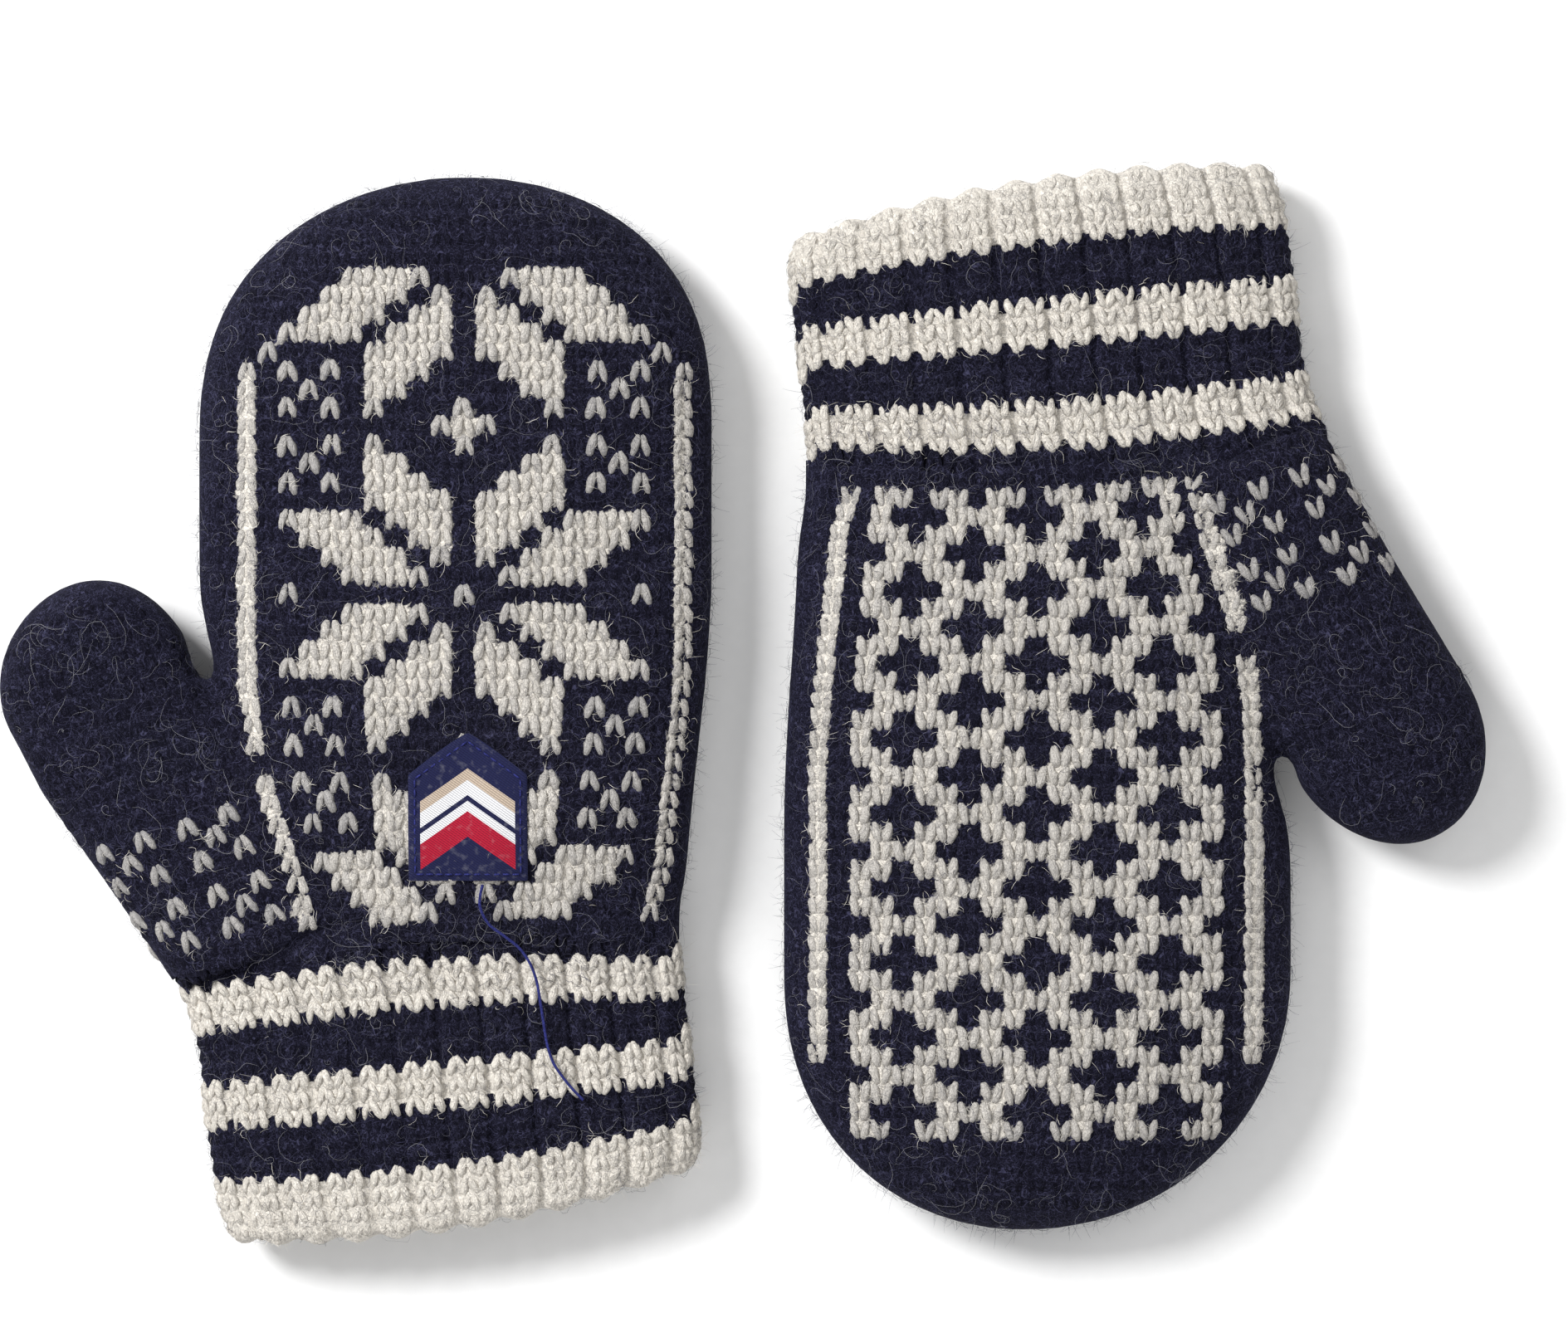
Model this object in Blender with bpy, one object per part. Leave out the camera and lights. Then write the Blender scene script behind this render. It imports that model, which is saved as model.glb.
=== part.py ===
"""A pair of knitted wool mittens, lying flat side by side.

Each mitten is a knitted hand with a thumb gusset, a thumb, a ribbed cuff with a cast-off
edge band, and a fleece lining in the hand and in the thumb. The right mitten lies with
its back up and carries a woven label; the left one lies the other way round, palm up.

Units are metres. World +X runs across the pair, +Y along the fingers of the right
mitten, +Z up. The origin is under the middle of the pair, on the surface they lie on.
A mitten is laid out in its own plan: x = 0 on the middle of the hand, y = 0 at the
wrist, fingers towards +y and thumb towards -x.
"""

import math
from dataclasses import dataclass

import bmesh
import bpy
from mathutils import Matrix, Vector

# ---- Driving dimensions: hand -------------------------------------------------------
HAND_WIDTH = 0.1045  # across the knuckles
HAND_LENGTH = 0.1505  # from the wrist to the fingertips
HAND_DEPTH = 0.026  # lying flat, from underside to top
TIP_ROUND = 0.048  # length of the rounded fingertip
CROTCH_RISE = 0.046  # from the wrist up to where the thumb leaves the hand
CROTCH_WIDTH = 0.093  # of the hand there
CROTCH_GAP = 0.0015  # between the thumb's root and the side of the hand

# ---- Driving dimensions: cuff -------------------------------------------------------
WRIST_WIDTH = 0.1025  # where the cuff meets the hand and the foot of the gusset
CUFF_WIDTH = 0.0995  # across the ribs
HEM_WIDTH = 0.0945  # across the mouth
CUFF_DEPTH = 0.020
CUFF_LENGTH = 0.036  # the striped ribbing
EDGE_LENGTH = 0.0130  # the light edge band
CUFF_SHIFT = 0.0025  # the cuff's middle lies this far towards the thumb

# ---- Driving dimensions: thumb ------------------------------------------------------
THUMB_DEPTH = 0.022
THUMB_LENGTH = 0.0375  # beyond its root
THUMB_LIFT = 0.001  # its underside stands this far off the surface
THUMB_IN = 18.0  # degrees it swings towards the hand
THUMB_OUT = 12.0  # degrees it swings away
SWING_SPARE = 1.5  # degrees more than that are cut clear

# ---- Driving dimensions: walls and label --------------------------------------------
KNIT_WALL = 0.0035
FLEECE_WALL = 0.0025
LABEL_WIDTH = 0.024
LABEL_HEIGHT = 0.030
LABEL_PEAK = 0.0085  # height of its pointed end
LABEL_THICKNESS = 0.0008
LABEL_FOOT = 0.0075  # its straight end, above the wrist
LABEL_OFFSET = 0.003  # its middle lies this far from the hand's, away from the thumb
STITCH_INSET = 0.0015
STITCH_WIDTH = 0.0006
STITCH_HEIGHT = 0.0004
THREAD_DIAMETER = 0.0006

# ---- Layout and clearances ----------------------------------------------------------
GAP = 0.0003  # between pieces that touch
PAIR_SPACE = 0.016  # free space between the two mittens
PAIR_ALONG = 0.0858  # from one mitten's wrist to the other's, along Y
OPEN_PAST = 0.004  # how far a cavity runs past the end that it opens

# ---- Drawing quality ----------------------------------------------------------------
RING_POINTS = 20  # a multiple of 4
SQUARENESS = 3.0  # exponent of a cross-section, 2 for an ellipse
FLAT_SHARE = 0.95  # a section is cut flat at this share of its half depth

KNIT_NAVY = (0.020, 0.019, 0.045, 1.0)
KNIT_CREAM = (0.68, 0.65, 0.60, 1.0)
FLEECE_GREY = (0.10, 0.11, 0.15, 1.0)
LABEL_NAVY = (0.012, 0.016, 0.09, 1.0)
THREAD_BLUE = (0.02, 0.025, 0.14, 1.0)


@dataclass(frozen=True)
class Mitten:
    """What differs from one mitten to the other."""

    side: str
    half_turns: int  # how many half turns it is laid round in the plan
    thumb_angle: float  # degrees between the thumb and the fingers
    thumb_base: float  # width across the root of the thumb

    @property
    def place(self):
        """The mitten's plan in the world."""
        turn = 1 - 2 * self.half_turns
        across = (HAND_WIDTH + PAIR_SPACE) / 2
        where = Vector((reach_balance() - across * turn, -PAIR_ALONG / 2 * turn, 0))
        return Matrix.Translation(where) @ Matrix.Rotation(math.pi * self.half_turns, 4, "Z")

    @property
    def thumb_way(self):
        """Unit vector along the thumb in the plan."""
        angle = math.radians(self.thumb_angle)
        return Vector((-math.sin(angle), math.cos(angle)))

    @property
    def crotch(self):
        """Where the thumb leaves the hand."""
        return Vector((-CROTCH_WIDTH / 2 - CROTCH_GAP, CROTCH_RISE))

    @property
    def thumb_outer(self):
        """The far end of the thumb's root line."""
        way = self.thumb_way
        return self.crotch + Vector((-way.y, way.x)) * self.thumb_base

    @property
    def thumb_root(self):
        """The middle of the thumb's root line, on the swing's axis."""
        return (self.crotch + self.thumb_outer) / 2

    @property
    def thumb_radius(self):
        """Of the round end of the thumb, in the plan."""
        return self.thumb_base / 2 * 0.96

    @property
    def reach(self):
        """The mitten's furthest point on the thumb side, from the middle of the hand."""
        straight = THUMB_LENGTH - self.thumb_radius
        return self.thumb_radius - (self.thumb_root + self.thumb_way * straight).x


RIGHT = Mitten("right", 0, 33.0, 0.0415)
LEFT = Mitten("left", 1, 25.0, 0.0375)


def reach_balance():
    """How far both mittens shift so that the origin stays under the middle of the pair."""
    return (RIGHT.reach - LEFT.reach) / 2


@dataclass(frozen=True)
class Station:
    """One cross-section of a soft form: a level chord in the plan and a depth over it."""

    left: Vector
    right: Vector
    depth: float
    middle: float  # height of the section's middle
    bow: float = 0.0  # how far the middle of the chord rises towards the fingers

    def moved(self, distance):
        """The same section, shifted along the form."""
        shift = self.normal * distance
        return Station(self.left + shift, self.right + shift, self.depth, self.middle, self.bow)

    @property
    def normal(self):
        """Unit vector along the form."""
        chord = (self.right - self.left).normalized()
        return Vector((-chord.y, chord.x))

    def points(self, inset, rise=None):
        """The section's outline, drawn in by a wall of this thickness."""
        chord = (self.right - self.left).normalized()
        centre = (self.left + self.right) / 2
        half = (self.right - self.left).length / 2
        found = []
        for k in range(RING_POINTS):
            angle = 2 * math.pi * k / RING_POINTS
            across = squared(math.cos(angle)) * max(half - inset, half * 0.2)
            up = max(-FLAT_SHARE, min(FLAT_SHARE, squared(math.sin(angle)))) / FLAT_SHARE
            up *= max(self.depth / 2 - inset, self.depth * 0.1)
            along = rise(across) if rise else self.bow * (1 - (across / half) ** 2)
            plan = centre + chord * across + self.normal * along
            found.append(Vector((plan.x, plan.y, self.middle + up)))
        return found


def squared(value):
    """A cosine or sine pushed outwards, so that a circle turns into a soft rectangle."""
    return math.copysign(abs(value) ** (2 / SQUARENESS), value)


# ---- Stations of each form ----------------------------------------------------------
def wrist():
    """Where the hand meets the cuff."""
    half = WRIST_WIDTH / 2
    middle = -CUFF_SHIFT * 2.2
    return Station(
        Vector((middle - half, -0.013)), Vector((middle + half, -0.0058)), CUFF_DEPTH + 0.002,
        CUFF_DEPTH / 2 + 0.001, 0.004,
    )


def hand_stations(inset):
    """The hand from the wrist to the start of the fingertip, then round its end."""
    half = HAND_WIDTH / 2
    middle = HAND_DEPTH / 2
    shoulder = HAND_LENGTH - TIP_ROUND
    plan = (
        (-CROTCH_WIDTH * 0.61, half * 0.945, 0.006),
        (-CROTCH_WIDTH * 0.53, half * 0.975, CROTCH_RISE * 0.65),
        (-CROTCH_WIDTH / 2, half * 0.995, CROTCH_RISE),
        (-half * 0.98, half, CROTCH_RISE + 0.028),
        (-half * 0.995, half * 1.005, shoulder),
    )
    found = [
        Station(Vector((left, along)), Vector((right, along)), HAND_DEPTH, middle)
        for left, right, along in plan
    ]
    found += dome(found[-1], TIP_ROUND - inset, HAND_DEPTH, middle, (25, 48, 68, 82), inset)
    return found


def dome(last, length, depth, middle, degrees, inset):
    """Sections round a blunt end, each drawn so that the wall keeps its thickness."""
    found = []
    half = (last.right - last.left).length / 2
    centre = (last.left + last.right) / 2
    chord = (last.right - last.left).normalized()
    for degree in degrees:
        share = math.sin(math.radians(degree))
        width = (half - inset) * math.sqrt(1 - share**2) + inset
        thick = (depth - 2 * inset) * (1 - share**4) ** 0.5 + 2 * inset
        here = centre + last.normal * (length * share)
        found.append(Station(here - chord * width, here + chord * width, thick, middle))
    return found


def gusset_stations(mitten, inset, runs_past):
    """From the wrist's thumb side, widening up to the root of the thumb."""
    middle = THUMB_LIFT + THUMB_DEPTH / 2
    foot = wrist().left + Vector((0.0012, 0.0016))
    low = Station(foot, Vector((-HAND_WIDTH * 0.15, 0.012)), THUMB_DEPTH - 0.002, middle)
    high = Station(mitten.thumb_outer, mitten.crotch, THUMB_DEPTH, middle)
    half_way = Station(
        (low.left + high.left) / 2 + Vector((0.0015, -0.0015)), (low.right + high.right) / 2,
        THUMB_DEPTH, middle,
    )
    found = [low.moved(inset), half_way, high]
    return found + [high.moved(OPEN_PAST)] if runs_past else found


def thumb_stations(mitten, inset):
    """The thumb from its root to its tip."""
    middle = THUMB_LIFT + THUMB_DEPTH / 2
    root = Station(mitten.thumb_outer, mitten.crotch, THUMB_DEPTH, middle)
    radius = mitten.thumb_radius
    centre = mitten.thumb_root
    chord = (root.right - root.left).normalized()
    straight = THUMB_LENGTH - radius
    found = [root]
    for share in (0.55, 1.0):
        here = centre + root.normal * (straight * share)
        width = mitten.thumb_base / 2 + (radius - mitten.thumb_base / 2) * share
        found.append(Station(here - chord * width, here + chord * width, THUMB_DEPTH, middle))
    found += dome(found[-1], radius - inset, THUMB_DEPTH, middle, (28, 52, 70, 83), inset)
    return found


def hem_station(length):
    """A section of the cuff, this far below the wrist."""
    share = length / (CUFF_LENGTH + EDGE_LENGTH)
    top = wrist()
    narrow = min(1.0, length / (CUFF_LENGTH * 0.33))
    width = WRIST_WIDTH + (CUFF_WIDTH - WRIST_WIDTH) * narrow
    width += (HEM_WIDTH - CUFF_WIDTH) * max(0.0, share * 4 - 3)
    centre_x = -CUFF_SHIFT * (2.2 - 1.8 * min(1.0, share * 1.4))
    left_y = top.left.y - length * 1.06
    right_y = top.right.y - length * 0.92
    return Station(
        Vector((centre_x - width / 2, left_y)), Vector((centre_x + width / 2, right_y)),
        CUFF_DEPTH, CUFF_DEPTH / 2, 0.004 - 0.0085 * share,
    )


# ---- Meshes -------------------------------------------------------------------------
def add_rings(mesh, rings):
    """Vertices for each ring, and a face between each two neighbours round and along."""
    made = [[mesh.verts.new(point) for point in ring] for ring in rings]
    for lower, upper in zip(made, made[1:]):
        add_band(mesh, lower, upper)
    return made


def add_band(mesh, lower, upper):
    """Quads from one ring of vertices to the next."""
    for k in range(RING_POINTS):
        after = (k + 1) % RING_POINTS
        mesh.faces.new((lower[k], lower[after], upper[after], upper[k]))


def add_cap(mesh, ring):
    """Closes a ring with upright strips from its top to its underside."""
    half = RING_POINTS // 2
    for k in range(half):
        corners = [ring[k], ring[k + 1], ring[(RING_POINTS - k - 1) % RING_POINTS]]
        if k > 0:
            corners.append(ring[RING_POINTS - k])
        if k == half - 1:
            corners = [ring[k], ring[k + 1], ring[RING_POINTS - k]]
        mesh.faces.new(corners)


def solid_form(name, rings, place):
    """A closed form through these rings."""
    mesh = bmesh.new()
    made = add_rings(mesh, rings)
    add_cap(mesh, made[0])
    add_cap(mesh, made[-1])
    return finished(name, mesh, place)


def sleeve(name, outer, inner, place):
    """A wall between an outer and an inner row of rings, open at both ends."""
    mesh = bmesh.new()
    outside = add_rings(mesh, outer)
    inside = add_rings(mesh, inner)
    add_band(mesh, outside[0], inside[0])
    add_band(mesh, outside[-1], inside[-1])
    return finished(name, mesh, place)


def cup(name, outer, inner, place):
    """A wall between an outer and an inner row of rings, open at the first ring only."""
    mesh = bmesh.new()
    outside = add_rings(mesh, outer)
    inside = add_rings(mesh, inner)
    add_band(mesh, outside[0], inside[0])
    add_cap(mesh, outside[-1])
    add_cap(mesh, inside[-1])
    return finished(name, mesh, place)


def finished(name, mesh, place):
    """An object holding this mesh, its faces turned outwards, laid at its place."""
    bmesh.ops.recalc_face_normals(mesh, faces=mesh.faces)
    data = bpy.data.meshes.new(name)
    mesh.to_mesh(data)
    mesh.free()
    data.shade_smooth()
    data.set_sharp_from_angle(angle=math.radians(50))
    made = bpy.data.objects.new(name, data)
    made.matrix_world = place
    return made


def boolean(target, operation, other):
    """Adds a live Boolean against another object."""
    cut = target.modifiers.new(f"{operation.lower()} {other.name}", "BOOLEAN")
    cut.operation = operation
    cut.solver = "EXACT"
    cut.object = other


# ---- Scene --------------------------------------------------------------------------
def clear_scene():
    """Removes whatever the file opened with."""
    for old in list(bpy.data.objects):
        bpy.data.objects.remove(old, do_unlink=True)


def new_collection(name, hidden=False):
    """A collection under the scene's own."""
    made = bpy.data.collections.new(name)
    made.hide_render = hidden
    bpy.context.scene.collection.children.link(made)
    return made


def material(name, colour, roughness):
    """A plain material of one colour."""
    made = bpy.data.materials.new(name)
    made.use_nodes = True
    shader = made.node_tree.nodes["Principled BSDF"]
    shader.inputs["Base Color"].default_value = colour
    shader.inputs["Roughness"].default_value = roughness
    shader.inputs["Metallic"].default_value = 0.0
    made.diffuse_color = colour
    return made


def keep(obj, collection, coat):
    """Adds a finished piece to the model with its own material."""
    collection.objects.link(obj)
    name, colour, roughness = coat
    obj.data.materials.append(material(f"{obj.name} {name}", colour, roughness))
    return obj


def cutter(obj, collection):
    """Puts a helper away where it isn't rendered."""
    collection.objects.link(obj)
    obj.hide_render = True
    obj.display_type = "WIRE"
    return obj


NAVY_WOOL = ("navy wool", KNIT_NAVY, 0.95)
CREAM_WOOL = ("cream wool", KNIT_CREAM, 0.95)
FLEECE = ("fleece", FLEECE_GREY, 0.98)
WOVEN = ("woven polyester", LABEL_NAVY, 0.6)
THREAD = ("sewing thread", THREAD_BLUE, 0.55)


# ---- Pieces -------------------------------------------------------------------------
def hand_layer(mitten, name, outer, inner, parts, cutters, coat):
    """One layer of the hand with its gusset: the space between two offsets of the form."""

    def forms(inset, runs_past):
        stations = hand_stations(inset)
        first = wrist()
        start = [first.moved(-OPEN_PAST), first] if runs_past else [first]
        hand = [station.points(inset) for station in start + stations]
        gusset = [s.points(inset) for s in gusset_stations(mitten, inset, runs_past)]
        return hand, gusset

    hand_outer, gusset_outer = forms(outer, False)
    hand_inner, gusset_inner = forms(inner, True)
    layer = keep(solid_form(name, hand_outer, mitten.place), parts, coat)
    added = cutter(solid_form(f"{name}_gusset", gusset_outer, mitten.place), cutters)
    boolean(layer, "UNION", added)
    for what, rings in (("hand_hollow", hand_inner), ("gusset_hollow", gusset_inner)):
        hollow = cutter(solid_form(f"{name}_{what}", rings, mitten.place), cutters)
        boolean(layer, "DIFFERENCE", hollow)
    return layer


def thumb_layer(mitten, name, outer, inner, parts, coat):
    """One layer of the thumb, its root cut to a V so that it can swing."""
    inward = math.tan(math.radians(THUMB_IN + SWING_SPARE))
    outward = math.tan(math.radians(THUMB_OUT + SWING_SPARE))

    def root_rise(across):
        return GAP + abs(across) * (inward if across > 0 else outward)

    def rings(inset):
        stations = thumb_stations(mitten, inset)
        return [stations[0].points(inset, root_rise)] + [s.points(inset) for s in stations[1:]]

    return keep(cup(name, rings(outer), rings(inner), mitten.place), parts, coat)


def cuff_piece(mitten, name, start, end, steps, parts, coat):
    """A length of the cuff, between two distances below the wrist."""
    lengths = [start + (end - start) * k / steps for k in range(steps + 1)]
    stations = [hem_station(length) for length in lengths]
    outer = [station.points(0) for station in stations]
    inner = [station.points(KNIT_WALL) for station in stations]
    return keep(sleeve(name, outer, inner, mitten.place), parts, coat)


def label_outline(inset):
    """The label's outline in the plan: a straight foot and a pointed top."""
    half = LABEL_WIDTH / 2 - inset
    foot = LABEL_FOOT + inset
    shoulder = LABEL_FOOT + LABEL_HEIGHT - LABEL_PEAK - inset * 0.35
    top = LABEL_FOOT + LABEL_HEIGHT - inset * 1.25
    corners = ((-half, foot), (half, foot), (half, shoulder), (0, top), (-half, shoulder))
    return [Vector((LABEL_OFFSET + x, y)) for x, y in corners]


def flat_piece(name, outlines, thickness, height, mitten, parts, coat):
    """A flat piece cut to one outline, with any further outlines as holes in it."""
    curve = bpy.data.curves.new(name, "CURVE")
    curve.dimensions = "2D"
    curve.fill_mode = "BOTH"
    curve.extrude = thickness / 2
    for outline in outlines:
        spline = curve.splines.new("POLY")
        spline.points.add(len(outline) - 1)
        for point, corner in zip(spline.points, outline):
            point.co = (corner.x, corner.y, 0, 1)
        spline.use_cyclic_u = True
    made = bpy.data.objects.new(name, curve)
    made.matrix_world = mitten.place @ Matrix.Translation((0, 0, height + thickness / 2))
    return keep(made, parts, coat)


def thread(name, mitten, parts):
    """The loose end of the label's sewing thread, lying down over the cuff."""
    route = (
        (0.0061, 0.0068, 0.02690), (0.0056, 0.0045, 0.02672), (0.0056, 0.0020, 0.02610),
        (0.0072, -0.0012, 0.02500), (0.0104, -0.0038, 0.02400), (0.0133, -0.0062, 0.02330),
        (0.0155, -0.0094, 0.02280), (0.0168, -0.0130, 0.02240), (0.0175, -0.0170, 0.02210),
        (0.0182, -0.0215, 0.02180), (0.0189, -0.0258, 0.02160), (0.0201, -0.0295, 0.02150),
        (0.0219, -0.0323, 0.02145), (0.0240, -0.0349, 0.02140), (0.0262, -0.0372, 0.02135),
    )
    curve = bpy.data.curves.new(name, "CURVE")
    curve.dimensions = "3D"
    curve.bevel_depth = THREAD_DIAMETER / 2
    curve.bevel_resolution = 2
    curve.use_fill_caps = True
    points = smooth_route([Vector(p) for p in route], THREAD_DIAMETER * 2.5)
    spline = curve.splines.new("POLY")
    spline.points.add(len(points) - 1)
    for point, place in zip(spline.points, points):
        point.co = (*place, 1)
    made = bpy.data.objects.new(name, curve)
    made.matrix_world = mitten.place
    return keep(made, parts, THREAD)


def smooth_route(route, spacing):
    """Points at an even spacing along a smooth curve through the route's own points."""
    ends = [route[0] * 2 - route[1]] + route + [route[-1] * 2 - route[-2]]
    fine = []
    for before, start, stop, after in zip(ends, ends[1:], ends[2:], ends[3:]):
        for step in range(24):
            fine.append(catmull_rom(before, start, stop, after, step / 24))
    fine.append(route[-1])
    length = sum((b - a).length for a, b in zip(fine, fine[1:]))
    count = max(2, round(length / spacing))
    found, walked, due = [fine[0]], 0.0, length / count
    for a, b in zip(fine, fine[1:]):
        step = (b - a).length
        while walked + step >= due - 1e-9 and len(found) < count:
            found.append(a.lerp(b, (due - walked) / step))
            due += length / count
        walked += step
    return found + [fine[-1]]


def catmull_rom(before, start, stop, after, share):
    """A point between start and stop on a curve that also passes its neighbours."""
    linear = (stop - before) * share
    square = (before * 2 - start * 5 + stop * 4 - after) * share**2
    cube = (start * 3 - before - stop * 3 + after) * share**3
    return start + (linear + square + cube) / 2


def build_mitten(mitten, parts, cutters):
    """Every piece that both mittens have."""
    side = mitten.side
    lining = KNIT_WALL + GAP
    hand_layer(mitten, f"{side}_hand_shell", 0.0, KNIT_WALL, parts, cutters, NAVY_WOOL)
    hand_layer(
        mitten, f"{side}_hand_lining", lining, lining + FLEECE_WALL, parts, cutters, FLEECE
    )
    thumb_layer(mitten, f"{side}_thumb_shell", 0.0, KNIT_WALL, parts, NAVY_WOOL)
    thumb_layer(mitten, f"{side}_thumb_lining", lining, lining + FLEECE_WALL, parts, FLEECE)
    cuff_piece(mitten, f"{side}_cuff_rib", GAP, CUFF_LENGTH, 4, parts, NAVY_WOOL)
    whole = CUFF_LENGTH + EDGE_LENGTH
    cuff_piece(mitten, f"{side}_cuff_edge", CUFF_LENGTH + GAP, whole, 2, parts, CREAM_WOOL)


def main():
    """Builds the pair."""
    clear_scene()
    parts = new_collection("knitted_mittens")
    cutters = new_collection("cutters", hidden=True)
    for mitten in (RIGHT, LEFT):
        build_mitten(mitten, parts, cutters)
    top = HAND_DEPTH + GAP
    flat_piece("woven_label", [label_outline(0)], LABEL_THICKNESS, top, RIGHT, parts, WOVEN)
    seam = [label_outline(STITCH_INSET), label_outline(STITCH_INSET + STITCH_WIDTH)]
    above = top + LABEL_THICKNESS + GAP
    flat_piece("label_stitching", seam, STITCH_HEIGHT, above, RIGHT, parts, THREAD)
    thread("label_thread", RIGHT, parts)


main()
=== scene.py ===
"""The looks of a pair of felted two-colour wool mittens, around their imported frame.

Lengths are metres in the row frame. A mitten is laid out in its own plan, as in the part's
source: x = 0 on the middle of the hand, y = 0 at the wrist, fingers towards +y, thumb
towards -x. Each class builds one sub-assembly and dresses it.
"""

import logging
import math
from dataclasses import dataclass, field
from enum import Enum

import bmesh
import bpy
import numpy as np
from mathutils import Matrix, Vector
from mathutils.bvhtree import BVHTree
from mathutils.kdtree import KDTree

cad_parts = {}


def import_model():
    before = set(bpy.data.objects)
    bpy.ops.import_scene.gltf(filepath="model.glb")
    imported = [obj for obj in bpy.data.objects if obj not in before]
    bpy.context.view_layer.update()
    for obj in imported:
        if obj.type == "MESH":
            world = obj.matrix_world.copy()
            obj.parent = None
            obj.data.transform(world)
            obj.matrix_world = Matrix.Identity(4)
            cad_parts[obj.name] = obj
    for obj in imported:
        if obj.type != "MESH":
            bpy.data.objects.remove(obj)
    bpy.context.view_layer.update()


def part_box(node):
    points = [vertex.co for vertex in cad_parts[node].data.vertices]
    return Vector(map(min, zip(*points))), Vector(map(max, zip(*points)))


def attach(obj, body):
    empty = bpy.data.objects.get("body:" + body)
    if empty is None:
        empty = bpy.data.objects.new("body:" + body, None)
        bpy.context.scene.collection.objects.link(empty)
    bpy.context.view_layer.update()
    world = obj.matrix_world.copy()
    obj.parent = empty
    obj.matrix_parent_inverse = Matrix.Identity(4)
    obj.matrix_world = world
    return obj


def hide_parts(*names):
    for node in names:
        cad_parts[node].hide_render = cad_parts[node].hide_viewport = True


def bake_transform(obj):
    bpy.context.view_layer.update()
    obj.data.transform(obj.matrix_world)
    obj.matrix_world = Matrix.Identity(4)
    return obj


LOG = logging.getLogger("mittens")
MM = 0.001
Colour = tuple[float, float, float]


class Yarn(Enum):
    """The two yarns of the pattern."""

    NAVY = "navy"
    CREAM = "cream"


class Face(Enum):
    """The two faces of a flat mitten."""

    BACK = "back"
    PALM = "palm"


# ---- Gauge of the knitting ------------------------------------------------------------
@dataclass(frozen=True)
class Gauge:
    """How far apart stitches lie, and how one leg of a stitch is shaped."""

    column: float = 4.62 * MM
    row: float = 3.79 * MM
    top: float = 68.0 * MM  # plan height of the middle row of the pattern
    stitch: float = 5.4 * MM  # from a stitch's feet to its point
    leg: float = 0.95 * MM  # half the width of a leg
    flat: float = 0.62  # height of a leg over its width


GAUGE = Gauge()
FIRST_ROW, LAST_ROW = -17, 17
DOME_ROW = 22
LINE_COLUMN = 10  # the light line at each side of the pattern
BROKEN_ROW = 9  # the row at which the light line by the thumb has a gap


# ---- Charts ---------------------------------------------------------------------------
class Chart:
    """Which yarn each stitch of the pattern takes, by row and column from its middle."""

    @staticmethod
    def star(column: int, row: int) -> bool:
        """Whether an eight-petalled star centred on (0, 0) is light there."""
        across, along = abs(column), abs(row)
        inner = 1 <= across <= 4 and across + 1 <= along <= across + 4
        outer = 1 <= along <= 4 and along + 1 <= across <= along + 4
        middle = across == 0 and along == 0
        return inner or outer or middle or (along == 0 and across == 8)

    @staticmethod
    def seeds(column: int, row: int) -> bool:
        """Whether a seed between two stars is light there."""
        across = abs(column)
        beside = abs(abs(row) - 9)
        scattered = across in (6, 8) and beside in (1, 3) and abs(row) < 13
        between = across == 7 and beside == 2
        bud = (across <= 1 and beside == 0) or (across == 0 and beside == 1)
        return scattered or between or bud

    @classmethod
    def back(cls, column: int, row: int) -> bool:
        """Whether the back's pattern is light there: stars, seeds and a line each side."""
        if not FIRST_ROW <= row <= LAST_ROW:
            return False
        across = abs(column)
        if across == LINE_COLUMN:
            return row >= -12
        if across == 9:
            return row == -13
        starred = any(cls.star(column, row - middle) for middle in (-18, 0, 18))
        return across < 9 and (starred or cls.seeds(column, row))

    @staticmethod
    def palm(column: int, row: int) -> bool:
        """Whether the palm's pattern is light there: a lattice and a line each side."""
        if not FIRST_ROW <= row <= LAST_ROW:
            return False
        across = abs(column)
        if across == LINE_COLUMN:
            return True
        if across > 8:
            return False
        near = min(column % 6, 6 - column % 6)
        if row % 4 == 0:
            return near > 1
        if row % 2 == 1:
            return near not in (0, 3)
        return near < 2

    @classmethod
    def light(cls, face: Face, column: int, row: int) -> bool:
        """Whether this face's pattern is light there."""
        return cls.back(column, row) if face is Face.BACK else cls.palm(column, row)

    @staticmethod
    def gusset(column: int, row: int) -> bool:
        """Whether the thumb gusset's seeding is light there."""
        inside = -5 <= column <= 1 and -5 <= row <= 1
        crossing = column % 4 == 0 and row % 4 == 0
        return inside and (crossing or (column % 2 == 1 and row % 2 == 1))


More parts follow.
